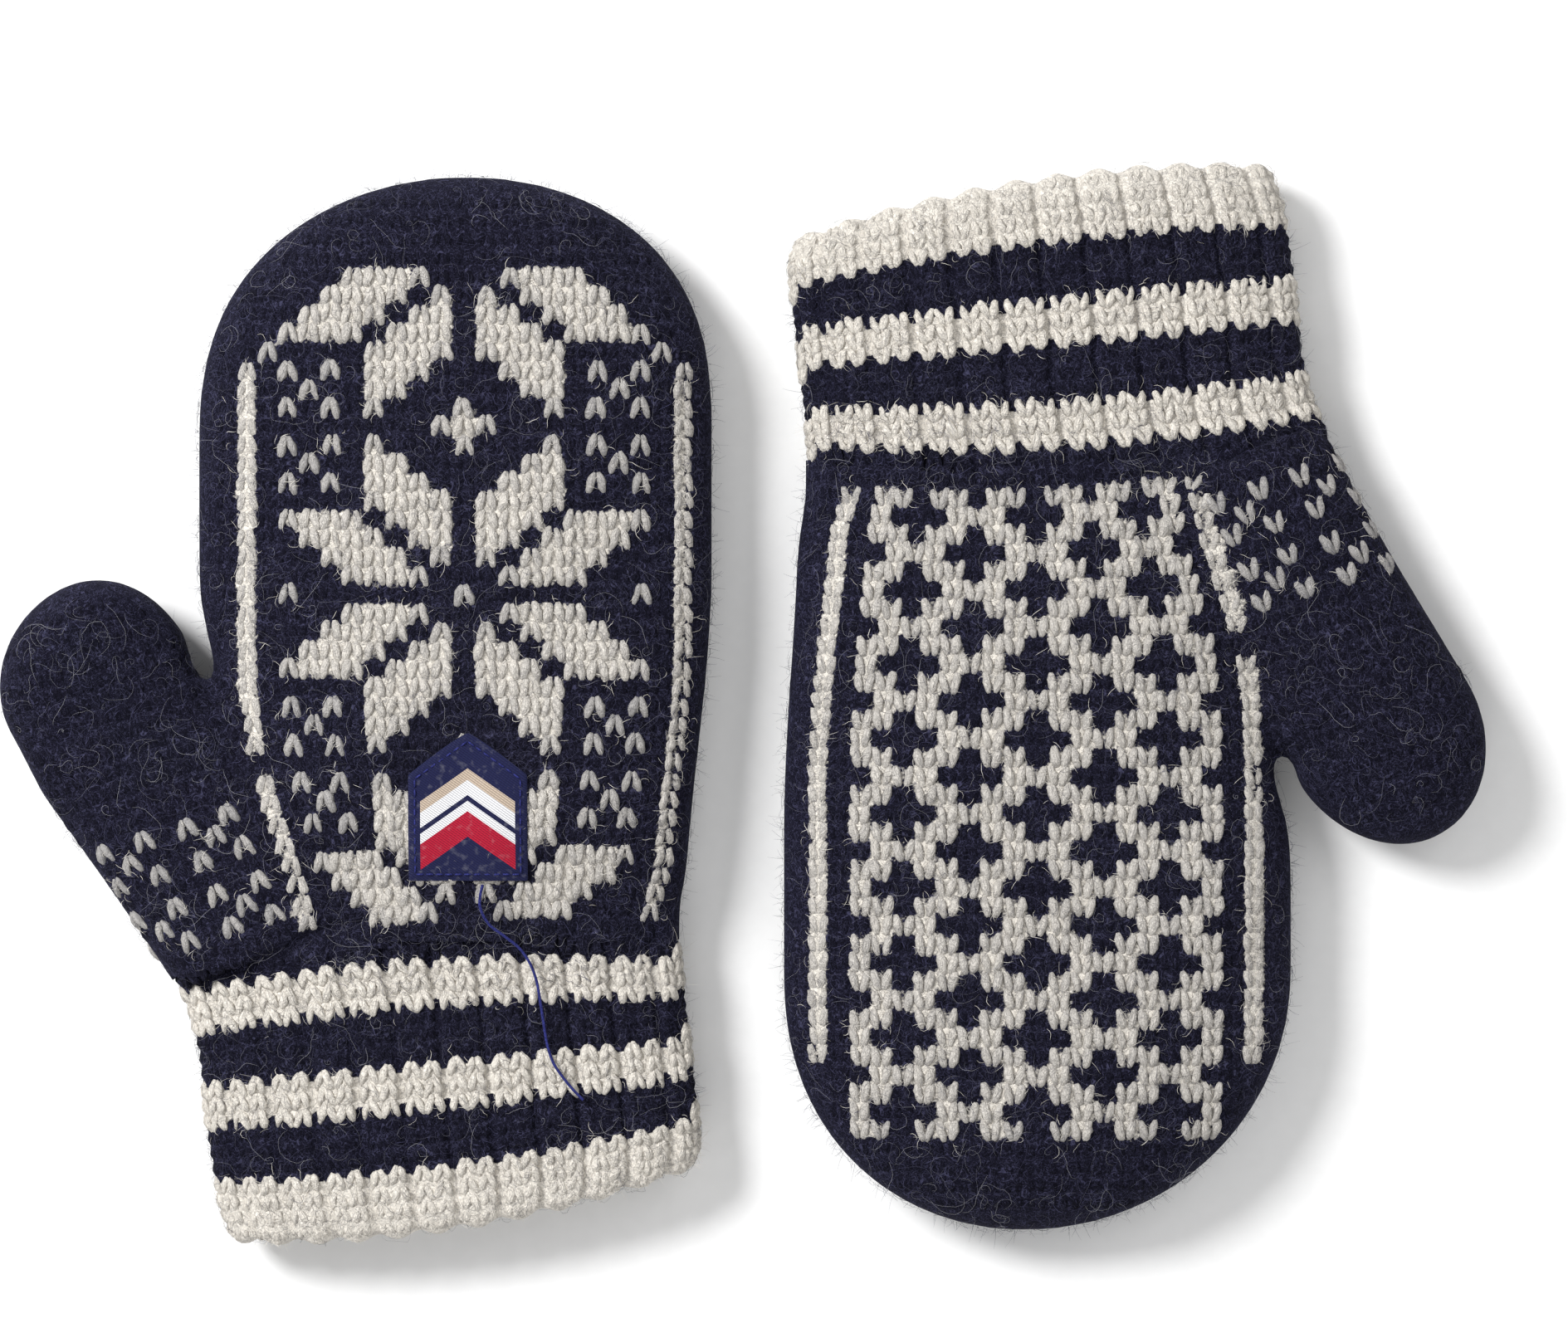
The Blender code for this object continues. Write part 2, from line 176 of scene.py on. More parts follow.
# ---- Layout ---------------------------------------------------------------------------
@dataclass(frozen=True)
class Fit:
    """The outline of one mitten in its plan, and where that plan lies."""

    side: str
    turn: int  # 1 as drawn, -1 laid round by half a turn
    top_face: Face
    half_width: float  # from the middle to the thumb side
    far_half: float  # from the middle to the other side
    far_waist: float  # share of the waist that the other side draws in
    lean: float  # how far the fingertips lie from the middle, away from the thumb
    dome_power: float  # how square the fingertips' curve is
    cuff_far: float  # how much wider the cuff is on the other side
    crotch: np.ndarray  # where the thumb leaves the hand
    dip: float  # how far the hand's edge draws in there
    thumb_half: float
    thumb_tip: tuple[float, float]  # middle of the thumb's round end
    tip_skew: float  # how far the thumb's end leans back over the hand
    tip_length: float  # of the round end, over half its width
    tip_power: float  # how square the round end is
    gusset_foot: tuple[float, float]
    gusset_hollow: float  # how far the gusset's edge draws in between its ends
    seed_middle: tuple[float, float]
    origin: tuple[float, float]
    thumb_angle: float = 33.0  # degrees
    root_width: float = 41.3 * MM

    def world(self, plan: np.ndarray) -> np.ndarray:
        """Points of the plan, laid where the mitten lies.

        Args:
            plan: points in the mitten's plan, as rows of three.
        Returns:
            The same points in the row frame.
        """
        placed = np.array(plan, float)
        placed[:, :2] = placed[:, :2] * self.turn + np.array(self.origin)
        return placed

    @property
    def way(self) -> np.ndarray:
        """Unit vector along the thumb."""
        angle = math.radians(self.thumb_angle)
        return np.array([-math.sin(angle), math.cos(angle)])

    @property
    def across(self) -> np.ndarray:
        """Unit vector across the thumb, towards the hand."""
        return np.array([self.way[1], -self.way[0]])

    @property
    def root_middle(self) -> np.ndarray:
        """The middle of the line on which the thumb leaves the hand."""
        return self.crotch - self.across * self.root_width / 2


HAND_HALF_PLAN = 52.51 * MM  # from the hand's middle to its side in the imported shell
HAND_END_PLAN = 150.5 * MM
FULL_END_PLAN = 151.4 * MM  # the felt swells a little past the shell


def placed_fits() -> list[Fit]:
    """The two mittens, each put where its packed hand lies."""
    _, right_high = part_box("right_hand_shell")
    left_low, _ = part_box("left_hand_shell")
    return [
        Fit(side="right", turn=1, top_face=Face.BACK, half_width=52.9 * MM, far_half=52.3 * MM,
            far_waist=0.75, lean=2.4 * MM, dome_power=2.55, cuff_far=0.0,
            crotch=np.array([-50.2, 47.0]) * MM, dip=1.7 * MM, thumb_half=20.4 * MM,
            thumb_tip=(-73.2 * MM, 46.4 * MM), tip_skew=2.0 * MM, tip_length=1.07, tip_power=2.15,
            gusset_foot=(-56.0 * MM, -17.0 * MM), gusset_hollow=0.3 * MM,
            seed_middle=(-48.6 * MM, 16.2 * MM),
            origin=(right_high.x - HAND_HALF_PLAN, right_high.y - HAND_END_PLAN)),
        Fit(side="left", turn=-1, top_face=Face.PALM, half_width=50.6 * MM, far_half=53.6 * MM,
            far_waist=0.45, lean=2.6 * MM, dome_power=2.15, cuff_far=2.6 * MM,
            crotch=np.array([-47.2, 53.1]) * MM, dip=3.0 * MM, thumb_half=20.2 * MM,
            thumb_tip=(-69.5 * MM, 49.3 * MM), tip_skew=0.5 * MM, tip_length=1.19, tip_power=1.9,
            gusset_foot=(-55.8 * MM, -15.5 * MM), gusset_hollow=0.6 * MM,
            seed_middle=(-46.7 * MM, 18.0 * MM),
            origin=(left_low.x + HAND_HALF_PLAN, left_low.y + HAND_END_PLAN)),
    ]


HAND_DEPTH = 25.4 * MM
HAND_MIDDLE = 12.0 * MM
THUMB_DEPTH = 21.5 * MM
THUMB_LIFT = 1.0 * MM
CUFF_DEPTH = 20.0 * MM
WRIST_ROW = -5.4 * MM  # the hand's first row
HEM_ROW = -63.0 * MM


def smooth(share: np.ndarray) -> np.ndarray:
    """A share from 0 to 1, eased at both ends."""
    held = np.clip(share, 0.0, 1.0)
    return held * held * (3 - 2 * held)


# ---- Meshes ---------------------------------------------------------------------------
def new_object(name: str, points: np.ndarray, faces: list | np.ndarray) -> bpy.types.Object:
    """A mesh object at the origin holding these points and faces.

    Args:
        name: of the object and its mesh.
        points: rows of three, in metres.
        faces: rows of vertex numbers.
    Returns:
        The object, linked to the scene.
    """
    data = bpy.data.meshes.new(name)
    faces = np.asarray(faces)
    corners = faces.shape[1]
    data.vertices.add(len(points))
    data.vertices.foreach_set("co", np.asarray(points, np.float32).ravel())
    data.loops.add(faces.size)
    data.loops.foreach_set("vertex_index", faces.astype(np.int32).ravel())
    data.polygons.add(len(faces))
    data.polygons.foreach_set("loop_start", np.arange(0, faces.size, corners, dtype=np.int32))
    data.update(calc_edges=True)
    data.validate()
    data.shade_smooth()
    made = bpy.data.objects.new(name, data)
    bpy.context.scene.collection.objects.link(made)
    return made


def points_of(obj: bpy.types.Object) -> np.ndarray:
    """A mesh object's own points, as rows of three."""
    found = np.empty(len(obj.data.vertices) * 3, np.float32)
    obj.data.vertices.foreach_get("co", found)
    return found.reshape(-1, 3).astype(float)


def set_attribute(obj: bpy.types.Object, name: str, values: np.ndarray) -> None:
    """Gives each vertex one number, which a material can read."""
    layer = obj.data.attributes.get(name) or obj.data.attributes.new(name, "FLOAT", "POINT")
    layer.data.foreach_set("value", np.asarray(values, np.float32))


def ring_faces(rings: int, around: int, first: int = 0) -> np.ndarray:
    """Quads between rows of points that each close on themselves."""
    row, step = np.meshgrid(np.arange(rings - 1), np.arange(around), indexing="ij")
    a = row * around + step
    b = row * around + (step + 1) % around
    return (np.stack([a, b, b + around, a + around], -1).reshape(-1, 4) + first).astype(int)


def face_outwards(obj: bpy.types.Object, sides: int = 0) -> None:
    """Turns every face of a mesh outwards, and shades it smooth.

    Args:
        obj: the mesh object.
        sides: holes with up to this many sides are closed first.
    """
    mesh = bmesh.new()
    mesh.from_mesh(obj.data)
    if sides:
        bmesh.ops.holes_fill(mesh, edges=[e for e in mesh.edges if e.is_boundary], sides=sides)
    bmesh.ops.recalc_face_normals(mesh, faces=mesh.faces)
    for part in mesh.faces:
        part.smooth = True
    mesh.to_mesh(obj.data)
    mesh.free()


def move_points(obj: bpy.types.Object, points: np.ndarray) -> None:
    """Puts a mesh object's own points in new places."""
    obj.data.vertices.foreach_set("co", points.astype(np.float32).ravel())
    obj.data.update()


def thicken(obj: bpy.types.Object, thickness: float, offset: float = -1.0) -> None:
    """Gives a surface a wall of this thickness, inside it unless the offset says otherwise."""
    wall = obj.modifiers.new("wall", "SOLIDIFY")
    wall.thickness, wall.offset = thickness, offset


def apply_all(obj: bpy.types.Object) -> None:
    """Applies every modifier of an object."""
    bpy.ops.object.select_all(action="DESELECT")
    bpy.context.view_layer.objects.active = obj
    obj.select_set(True)
    for modifier in list(obj.modifiers):
        bpy.ops.object.modifier_apply(modifier=modifier.name)
    obj.select_set(False)


def drop(*objects: bpy.types.Object) -> None:
    """Removes helpers that have done their work."""
    for obj in objects:
        bpy.data.objects.remove(obj, do_unlink=True)


# ---- Tubes of yarn and fibre ----------------------------------------------------------
@dataclass
class Strands:
    """Many short tubes gathered into one mesh: legs of stitches, or fibres."""

    sides: int
    rough: float = 0.0  # how uneven each tube's surface is
    lines: list[np.ndarray] = field(default_factory=list)
    normals: list[np.ndarray] = field(default_factory=list)
    radii: list[np.ndarray] = field(default_factory=list)
    flats: list[float] = field(default_factory=list)
    tints: list[float] = field(default_factory=list)

    def add(self, line: np.ndarray, normal: np.ndarray, radius: np.ndarray, flat: float, tint: float) -> None:
        """Adds one tube.

        Args:
            line: the points it follows.
            normal: the skin's normal at each point.
            radius: half its width at each point.
            flat: its height over its width.
            tint: how dark it is, from 0 to 1.
        """
        self.lines.append(line)
        self.normals.append(normal)
        self.radii.append(radius)
        self.flats.append(flat)
        self.tints.append(tint)

    def mesh(self, name: str, fit: Fit) -> bpy.types.Object | None:
        """Builds every tube as one object.

        Args:
            name: of the object.
            fit: the mitten that it lies on.
        Returns:
            The object, or None if there is no tube.
        """
        if not self.lines:
            return None
        lines = np.array(self.lines)
        count, rings, _ = lines.shape
        along = np.gradient(lines, axis=1)
        along /= np.linalg.norm(along, axis=2, keepdims=True) + 1e-12
        normals = np.array(self.normals)
        across = np.cross(along, normals)
        across /= np.linalg.norm(across, axis=2, keepdims=True) + 1e-12
        up = np.cross(across, along)
        angle = 2 * math.pi * np.arange(self.sides) / self.sides - math.pi / 2
        uneven = np.random.default_rng(3).normal(1.0, self.rough, (count, rings, self.sides, 1))
        radius = np.array(self.radii)[:, :, None, None] * uneven
        flat = np.array(self.flats)[:, None, None, None]
        turned = (across[:, :, None, :] * np.cos(angle)[None, None, :, None]
                  + up[:, :, None, :] * np.sin(angle)[None, None, :, None] * flat)
        points = lines[:, :, None, :] + turned * radius
        points[..., 2] = np.maximum(points[..., 2], 0.12 * MM)
        each = rings * self.sides
        quads = ring_faces(rings, self.sides)
        faces = (quads[None] + (np.arange(count) * each)[:, None, None]).reshape(-1, 4)
        made = new_object(name, fit.world(points.reshape(-1, 3)), faces)
        face_outwards(made, self.sides)
        set_attribute(made, "tint", np.repeat(np.array(self.tints), each))
        set_attribute(made, "along", np.tile(np.repeat(np.linspace(0, 1, rings), self.sides), count))
        set_attribute(made, "round", np.tile(np.arange(self.sides) / self.sides, count * rings))
        set_attribute(made, "lot", np.repeat(np.random.default_rng(7).random(count), each))
        return made


# ---- Skin -----------------------------------------------------------------------------
@dataclass
class Skin:
    """The felted body of one mitten, which the stitches lie on."""

    fit: Fit
    around: int = 88
    shoulder: float = 98.0 * MM  # where the fingertips' curve begins
    voxel: float = 1.45 * MM

    def section(self, left: np.ndarray, right: np.ndarray, depth: float, middle: float,
                inset: float) -> np.ndarray:
        """One plump cross-section over a chord of the plan.

        Args:
            left: end of the chord.
            right: its other end.
            depth: from underside to top.
            middle: height of the section's middle.
            inset: how far inside that outline.
        Returns:
            A ring of points.
        """
        angle = 2 * math.pi * np.arange(self.around) / self.around
        c, s = np.cos(angle), np.sin(angle)
        squared_c = np.sign(c) * np.abs(c) ** 0.78
        squared_s = np.sign(s) * np.abs(s) ** 0.80
        centre, half = (left + right) / 2, np.linalg.norm(right - left) / 2
        chord = (right - left) / (2 * half)
        plan = centre + chord * (squared_c * max(half - inset, half * 0.15))[:, None]
        height = middle + squared_s * max(depth / 2 - inset, depth * 0.08)
        return np.column_stack([plan, height])

    def hand_rings(self, inset: float, start: float) -> np.ndarray:
        """Sections of the hand from the wrist round the fingertips."""
        fit = self.fit
        shoulder = self.shoulder
        length = FULL_END_PLAN - shoulder - inset
        turn = np.radians(np.linspace(0, 88.5, 26))
        ys = np.concatenate([np.linspace(start, shoulder, 40)[:-1], shoulder + length * np.sin(turn)])
        rings = []
        for y in ys:
            share = max(0.0, (y - shoulder) / (FULL_END_PLAN - shoulder))
            round_end = (1 - min(share, 0.9995) ** fit.dome_power) ** 0.5
            waist = 7.0 * MM * (1 - float(smooth(np.array(y / (70 * MM)))))
            dip = fit.dip * math.exp(-((y - fit.crotch[1] - 4 * MM) / (10 * MM)) ** 2)
            thumb_side = -fit.half_width + waist * 1.1 + dip
            notch = 1.3 * MM * (1 - float(smooth(np.array(y / (12 * MM)))))
            far_side = fit.far_half - waist * fit.far_waist - notch
            middle = (far_side + thumb_side) / 2 + fit.lean * share**1.5
            wide = (far_side - thumb_side) / 2 * round_end
            depth = HAND_DEPTH - 4.7 * MM * (1 - float(smooth(np.array((y + 8 * MM) / (34 * MM)))))
            thick = depth * (1 - share**4.5) ** 0.55 + 1e-4
            rings.append(self.section(
                np.array([middle - wide, y]), np.array([middle + wide, y]), thick,
                max(depth / 2, HAND_DEPTH / 2 * share), inset))
        return np.array(rings)

    def thumb_rings(self, inset: float, from_root: bool) -> np.ndarray:
        """Sections of the gusset and thumb, from the wrist's thumb side to the thumb's tip."""
        fit = self.fit
        tip, across, root_middle = np.array(fit.thumb_tip), fit.across, fit.root_middle
        low_left = np.array(fit.gusset_foot)
        low_right = np.array([-10.0 * MM, 8.0 * MM])
        high_left = root_middle - across * fit.root_width / 2
        high_right = root_middle + across * fit.root_width / 2
        chords = []
        if not from_root:
            for share in np.linspace(0.0, 1.0, 14)[:-1]:
                bow = across * (fit.gusset_hollow * math.sin(math.pi * share))
                chords.append((low_left + (high_left - low_left) * share + bow,
                               low_right + (high_right - low_right) * share, 1.0))
        straight = float((tip - root_middle) @ fit.way)
        side = tip - root_middle - fit.way * straight
        for share in np.linspace(0.0, 1.0, 8)[:-1]:
            half = fit.root_width / 2 + (fit.thumb_half - fit.root_width / 2) * share
            here = root_middle + fit.way * straight * share + side * share
            cleft = across * 1.8 * MM * math.exp(-((share - 0.4) / 0.35) ** 2)
            chords.append((here - across * half, here + across * half - cleft, 1.0))
        length = fit.thumb_half * fit.tip_length - inset
        for turn in np.radians(np.linspace(0, 88, 18)):
            share = math.sin(turn)
            half = fit.thumb_half * (1 - share**fit.tip_power) ** 0.5 + 1e-5
            here = tip + fit.way * length * share + across * fit.tip_skew * share**2
            chords.append((here - across * half, here + across * half, (1 - share**4) ** 0.55 + 0.01))
        middle = THUMB_LIFT + THUMB_DEPTH / 2
        return np.array([
            self.section(left, right, THUMB_DEPTH * depth, middle, inset) for left, right, depth in chords])

    def closed(self, name: str, rings: np.ndarray) -> bpy.types.Object:
        """A closed form through these sections."""
        count, around, _ = rings.shape
        made = new_object(name, rings.reshape(-1, 3), ring_faces(count, around))
        face_outwards(made, around)
        return made

    def build(self) -> bpy.types.Object:
        """The hand and the thumb as one felted form, in the plan."""
        hand = self.closed("hand form", self.hand_rings(0.0, -16.0 * MM))
        thumb = self.closed("thumb form", self.thumb_rings(0.0, False))
        bpy.ops.object.select_all(action="DESELECT")
        thumb.select_set(True)
        hand.select_set(True)
        bpy.context.view_layer.objects.active = hand
        bpy.ops.object.join()
        remesh = hand.modifiers.new("felt", "REMESH")
        remesh.mode = "VOXEL"
        remesh.voxel_size = self.voxel
        remesh.use_smooth_shade = True
        soft = hand.modifiers.new("soft", "SMOOTH")
        soft.factor = 0.6
        soft.iterations = 6
        apply_all(hand)
        self.settle(hand)
        return hand

    def settle(self, form: bpy.types.Object) -> None:
        """Lets the form lie: a flatter underside and a slightly uneven, slack top."""
        points = points_of(form)
        x, y, z = points.T
        slack = (np.sin(x * 95 + 1.3 * self.fit.turn) * np.cos(y * 71 + 0.8)
                 + 0.6 * np.sin(x * 160 - y * 120 + 2.1 * self.fit.turn))
        lift = np.clip((z - 8 * MM) / (12 * MM), 0, 1)
        points[:, 2] += lift * slack * 0.42 * MM
        low, high = 0.35 * MM, 5.0 * MM
        under = z < high
        points[under, 2] = low + (high - low) * np.clip((z[under] - low) / (high - low), 0, None) ** 1.25
        move_points(form, points)


@dataclass
class Ground:
    """Finds the surface of a form under any point near it."""

    form: bpy.types.Object
    tree: BVHTree = None

    def __post_init__(self) -> None:
        """Builds the search tree once."""
        mesh = bmesh.new()
        mesh.from_mesh(self.form.data)
        mesh.normal_update()
        self.tree = BVHTree.FromBMesh(mesh)
        mesh.free()

    def drop(self, x: float, y: float, above: bool) -> tuple[Vector, Vector] | None:
        """The surface met from straight above or straight below a place in the plan."""
        start = Vector((x, y, 0.08 if above else -0.05))
        hit, normal, _, _ = self.tree.ray_cast(start, Vector((0, 0, -1 if above else 1)))
        return (hit, normal) if hit is not None else None

    def snap(self, point: np.ndarray) -> tuple[np.ndarray, np.ndarray]:
        """The nearest place on the surface, and its normal."""
        hit, normal, _, _ = self.tree.find_nearest(Vector(point))
        return np.array(hit), np.array(normal)


# ---- Stitches -------------------------------------------------------------------------
@dataclass(frozen=True)
class Stitch:
    """One stitch: where its middle lies, which way it points, and its yarn."""

    place: np.ndarray
    up: np.ndarray
    normal: np.ndarray
    width: float
    height: float
    yarn: Yarn
    zone: str
    tint: float = 0.0
    sunk: float = 0.0  # how deep it lies in the felt, in thicknesses of a leg


class Knitter:
    """Turns stitches into legs of yarn that follow the skin."""

    # from a leg's top to its foot: how high it stands and how thick it is, over a leg's thickness
    RISE = {Yarn.CREAM: (-0.45, -0.05, 0.14, 0.2, 0.14, -0.1, -0.55),
            Yarn.NAVY: (-0.75, -0.4, -0.3, -0.5, -0.9)}
    GIRTH = {Yarn.CREAM: (0.42, 0.8, 1.0, 1.06, 1.0, 0.78, 0.3),
             Yarn.NAVY: (0.62, 0.88, 1.0, 0.92, 0.55)}

    def __init__(self, fit: Fit, ground: Ground, seed: int) -> None:
        """Keeps the mitten and its skin, and seeds the small differences between stitches."""
        self.fit = fit
        self.ground = ground
        self.random = np.random.default_rng(seed)
        self.strands: dict[tuple[str, Yarn], Strands] = {}

    def leg(self, stitch: Stitch, hand: int) -> None:
        """Adds one of a stitch's two legs.

        Args:
            stitch: the stitch.
            hand: -1 for its left leg, 1 for its right one.
        """
        light = stitch.yarn is Yarn.CREAM
        alone = stitch.tint > 0.5
        ribbed = stitch.zone in ("cuff", "welt")
        girth, rise = np.array(self.GIRTH[stitch.yarn]), np.array(self.RISE[stitch.yarn])
        rings = len(girth)
        side = np.cross(stitch.up, stitch.normal)
        jitter = self.random.normal(0, 0.05, 4)
        close = 0.035 if ribbed else 0.055 if alone else 0.12
        wide = 0.49 if ribbed else 0.37
        top = (close + jitter[0] * 0.4) * hand, 0.45 + jitter[1] * 0.5
        foot = (wide + jitter[2] * 0.4) * hand, -0.46 + jitter[3] * 0.5
        share = np.linspace(0, 1, rings)
        bulge = (-0.02 if ribbed else 0.01) * np.sin(np.pi * share) * hand
        uneven = self.random.normal(0, 0.012 if light else 0.0, rings)
        across = (top[0] + (foot[0] - top[0]) * share + bulge + uneven) * stitch.width
        along = (top[1] + (foot[1] - top[1]) * share) * stitch.height
        loose = self.random.normal(1.0, 0.07)
        plump = 0.97 if alone else 1.08 if light else 1.15
        thick = GAUGE.leg * (stitch.width / GAUGE.column) * loose * plump
        radius = thick * girth * (1 + self.random.normal(0, 0.06 if light else 0.0, rings))
        sink = (rise - stitch.sunk) * thick
        line, normals = np.empty((rings, 3)), np.empty((rings, 3))
        for k in range(rings):
            near = stitch.place + side * across[k] + stitch.up * along[k]
            hit, normal = self.ground.snap(near)
            line[k] = hit + normal * sink[k]
            normals[k] = normal
        strands = self.strands.setdefault((stitch.zone, stitch.yarn), Strands(5, 0.09 if light else 0.0))
        strands.add(line, normals, radius, GAUGE.flat, stitch.tint)

    def knit(self, stitches: list[Stitch]) -> None:
        """Adds both legs of every stitch."""
        for stitch in stitches:
            self.leg(stitch, -1)
            self.leg(stitch, 1)


class HandPattern:
    """Lays out the stitches of one mitten's hand, gusset and thumb."""

    EDGE = 4.4 * MM  # how close to the outline the pattern's columns run in the rounded end

    def __init__(self, fit: Fit, ground: Ground, skin: Skin) -> None:
        """Keeps the mitten, its surface and its form."""
        self.fit = fit
        self.ground = ground
        self.rings = skin.hand_rings(0.0, -16.0 * MM)
        self.random = np.random.default_rng(40 + fit.turn)

    def limits(self, y: float) -> tuple[float, float]:
        """The hand's left and right edge at this height of the plan."""
        heights = self.rings[:, 0, 1]
        left = np.interp(y, heights, self.rings[:, :, 0].min(axis=1))
        right = np.interp(y, heights, self.rings[:, :, 0].max(axis=1))
        return float(left), float(right)

    def row_height(self, x: float, level: float) -> float:
        """The plan height of a row at this place: rows near the wrist are bowed and tilted."""
        across = x / self.fit.half_width
        fade = 1 - float(smooth(np.array((level + 5.4 * MM) / (43 * MM))))
        return level + fade * (2.8 * across - 4.2 * across**2) * MM

    def column_place(self, column: int, y: float) -> float:
        """The plan place of a column: columns draw in a little towards the wrist."""
        narrow = 1 - 0.11 * (1 - float(smooth(np.array((y + 4 * MM) / (62 * MM)))))
        spread = GAUGE.column * (1.0 - 0.004 * abs(column))
        thumb_side, far_side = max(-column, 0) / LINE_COLUMN, max(column, 0) / LINE_COLUMN
        gusset = 8.0 * MM * min(max((33 * MM - y) / (33 * MM), 0.0), 1.25) * thumb_side**1.5
        lean_in = 3.0 * MM * min(max((9 * MM - y) / (12 * MM), 0.0), 1.2) * far_side**1.5
        return column * spread * narrow + 2.2 * MM + gusset - lean_in

    def on_thumb(self, x: float, y: float) -> bool:
        """Whether a place of the plan belongs to the gusset or the thumb."""
        if y > self.fit.crotch[1] + 2 * MM:
            beside = float((np.array([x, y]) - self.fit.crotch) @ self.fit.across)
            return beside < 2.5 * MM and x < -45 * MM and self.beyond_root(x, y) > 0
        return x < self.column_place(-LINE_COLUMN, y) - 2.6 * MM

    def beyond_root(self, x: float, y: float) -> float:
        """How far along the thumb a place lies from the line of its root."""
        return float((np.array([x, y]) - self.fit.crotch) @ self.fit.way)

    def panel(self, face: Face, above: bool) -> list[Stitch]:
        """The patterned panel of one face."""
        found = []
        for row in range(-DOME_ROW, 22):
            for column in range(-12, 13):
                level = GAUGE.top - GAUGE.row * row - GAUGE.stitch * 0.46
                x = self.column_place(column, level)
                y = self.row_height(x, level)
                left, right = self.limits(y)
                if not left + self.EDGE < x < right - self.EDGE or y > 146 * MM:
                    continue
                if self.on_thumb(x, y):
                    continue
                light = Chart.light(face, column, row)
                if column == -LINE_COLUMN and row == BROKEN_ROW:
                    light = False
                found += self.stitch(x, y, above, Yarn.CREAM if light else Yarn.NAVY, "panel",
                                     self.alone(face, column, row) if light else 0.0,
                                     sunk=0.3 if light and abs(column) == LINE_COLUMN else 0.0)
        return found

    def alone(self, face: Face, column: int, row: int) -> float:
        """How grey a light stitch looks: one on its own sinks into the dark felt."""
        beside = sum(Chart.light(face, column + step, row) for step in (-1, 1))
        over = sum(Chart.light(face, column, row + step) for step in (-1, 1))
        return (0.88, 0.68, 0.50, 0.38, 0.28)[beside + over]

    def stitch(self, x: float, y: float, above: bool, yarn: Yarn, zone: str, tint: float,
               slope: float = 0.0, sunk: float = 0.0) -> list[Stitch]:
        """One stitch on the surface, or none where there is no surface."""
        met = self.ground.drop(x, y, above)
        if met is None:
            return []
        place, normal = np.array(met[0]), np.array(met[1])
        up = np.array([math.sin(slope), math.cos(slope), 0.0])
        up -= normal * (up @ normal)
        up /= np.linalg.norm(up)
        jitter = self.random.normal(0, 0.12 * MM, 2)
        place = place + up * jitter[1] + np.cross(up, normal) * jitter[0]
        return [Stitch(place, up, normal, GAUGE.column, GAUGE.stitch, yarn, zone, tint, sunk)]

    def edge_band(self) -> list[Stitch]:
        """Dark columns that follow the outline round the fingertips."""
        found = []
        heights = self.rings[:, 0, 1]
        lefts = self.rings[:, :, 0].min(axis=1)
        rights = self.rings[:, :, 0].max(axis=1)
        sides = np.column_stack([lefts, heights]), np.column_stack([rights, heights])[::-1]
        outline = np.concatenate(sides)
        steps = np.linalg.norm(np.diff(outline, axis=0), axis=1)
        walked = np.concatenate([[0], np.cumsum(steps)])
        for at in np.arange(16 * MM, walked[-1] - 12 * MM, GAUGE.row):
            here = np.array([np.interp(at, walked, outline[:, k]) for k in (0, 1)])
            ahead = np.array([np.interp(at + 1 * MM, walked, outline[:, k]) for k in (0, 1)])
            along = (ahead - here) / np.linalg.norm(ahead - here)
            inward = np.array([along[1], -along[0]])
            if self.on_thumb(here[0] + 0.5 * MM, here[1]):
                continue
            rising = at < walked[-1] / 2
            up = np.array([*(along if rising else -along), 0.0])
            for offset, height in ((0.0, 0.0), (1.7 * MM, 1.0), (1.7 * MM, -1.0)):
                spot = here + inward * offset
                start = np.array([spot[0], spot[1], HAND_DEPTH / 2 + height * HAND_DEPTH * 0.33])
                place, normal = self.ground.snap(start)
                way = up - normal * (up @ normal)
                way /= np.linalg.norm(way)
                found.append(Stitch(place, way, normal, GAUGE.column, GAUGE.stitch, Yarn.NAVY,
                                    "edge", sunk=0.4))
        return found

    def thumb(self, above: bool) -> list[Stitch]:
        """The seeded gusset and the plain thumb on one face."""
        found = []
        fit = self.fit
        tilt, rise, lean = (math.radians(angle) for angle in (22.0, 18.0, 25.0))
        step_across = np.array([math.cos(rise), math.sin(rise)]) * 4.5 * MM
        step_along = np.array([-math.sin(lean), math.cos(lean)]) * 3.74 * MM
        for row in range(-9, 20):
            for column in range(-12, 9):
                x, y = np.array(fit.seed_middle) + step_across * column + step_along * row
                if not self.on_thumb(x, y):
                    continue
                from_tip = np.array([x, y]) - np.array(fit.thumb_tip)
                if from_tip @ fit.way > 0 and np.linalg.norm(from_tip) > fit.thumb_half - 1.5 * MM:
                    continue
                light = Chart.gusset(column, row)
                zone = "thumb" if self.beyond_root(x, y) > 0 else "gusset"
                found += self.stitch(x, y, above, Yarn.CREAM if light else Yarn.NAVY, zone,
                                     0.92 if light else 0.0, -tilt)
        return found


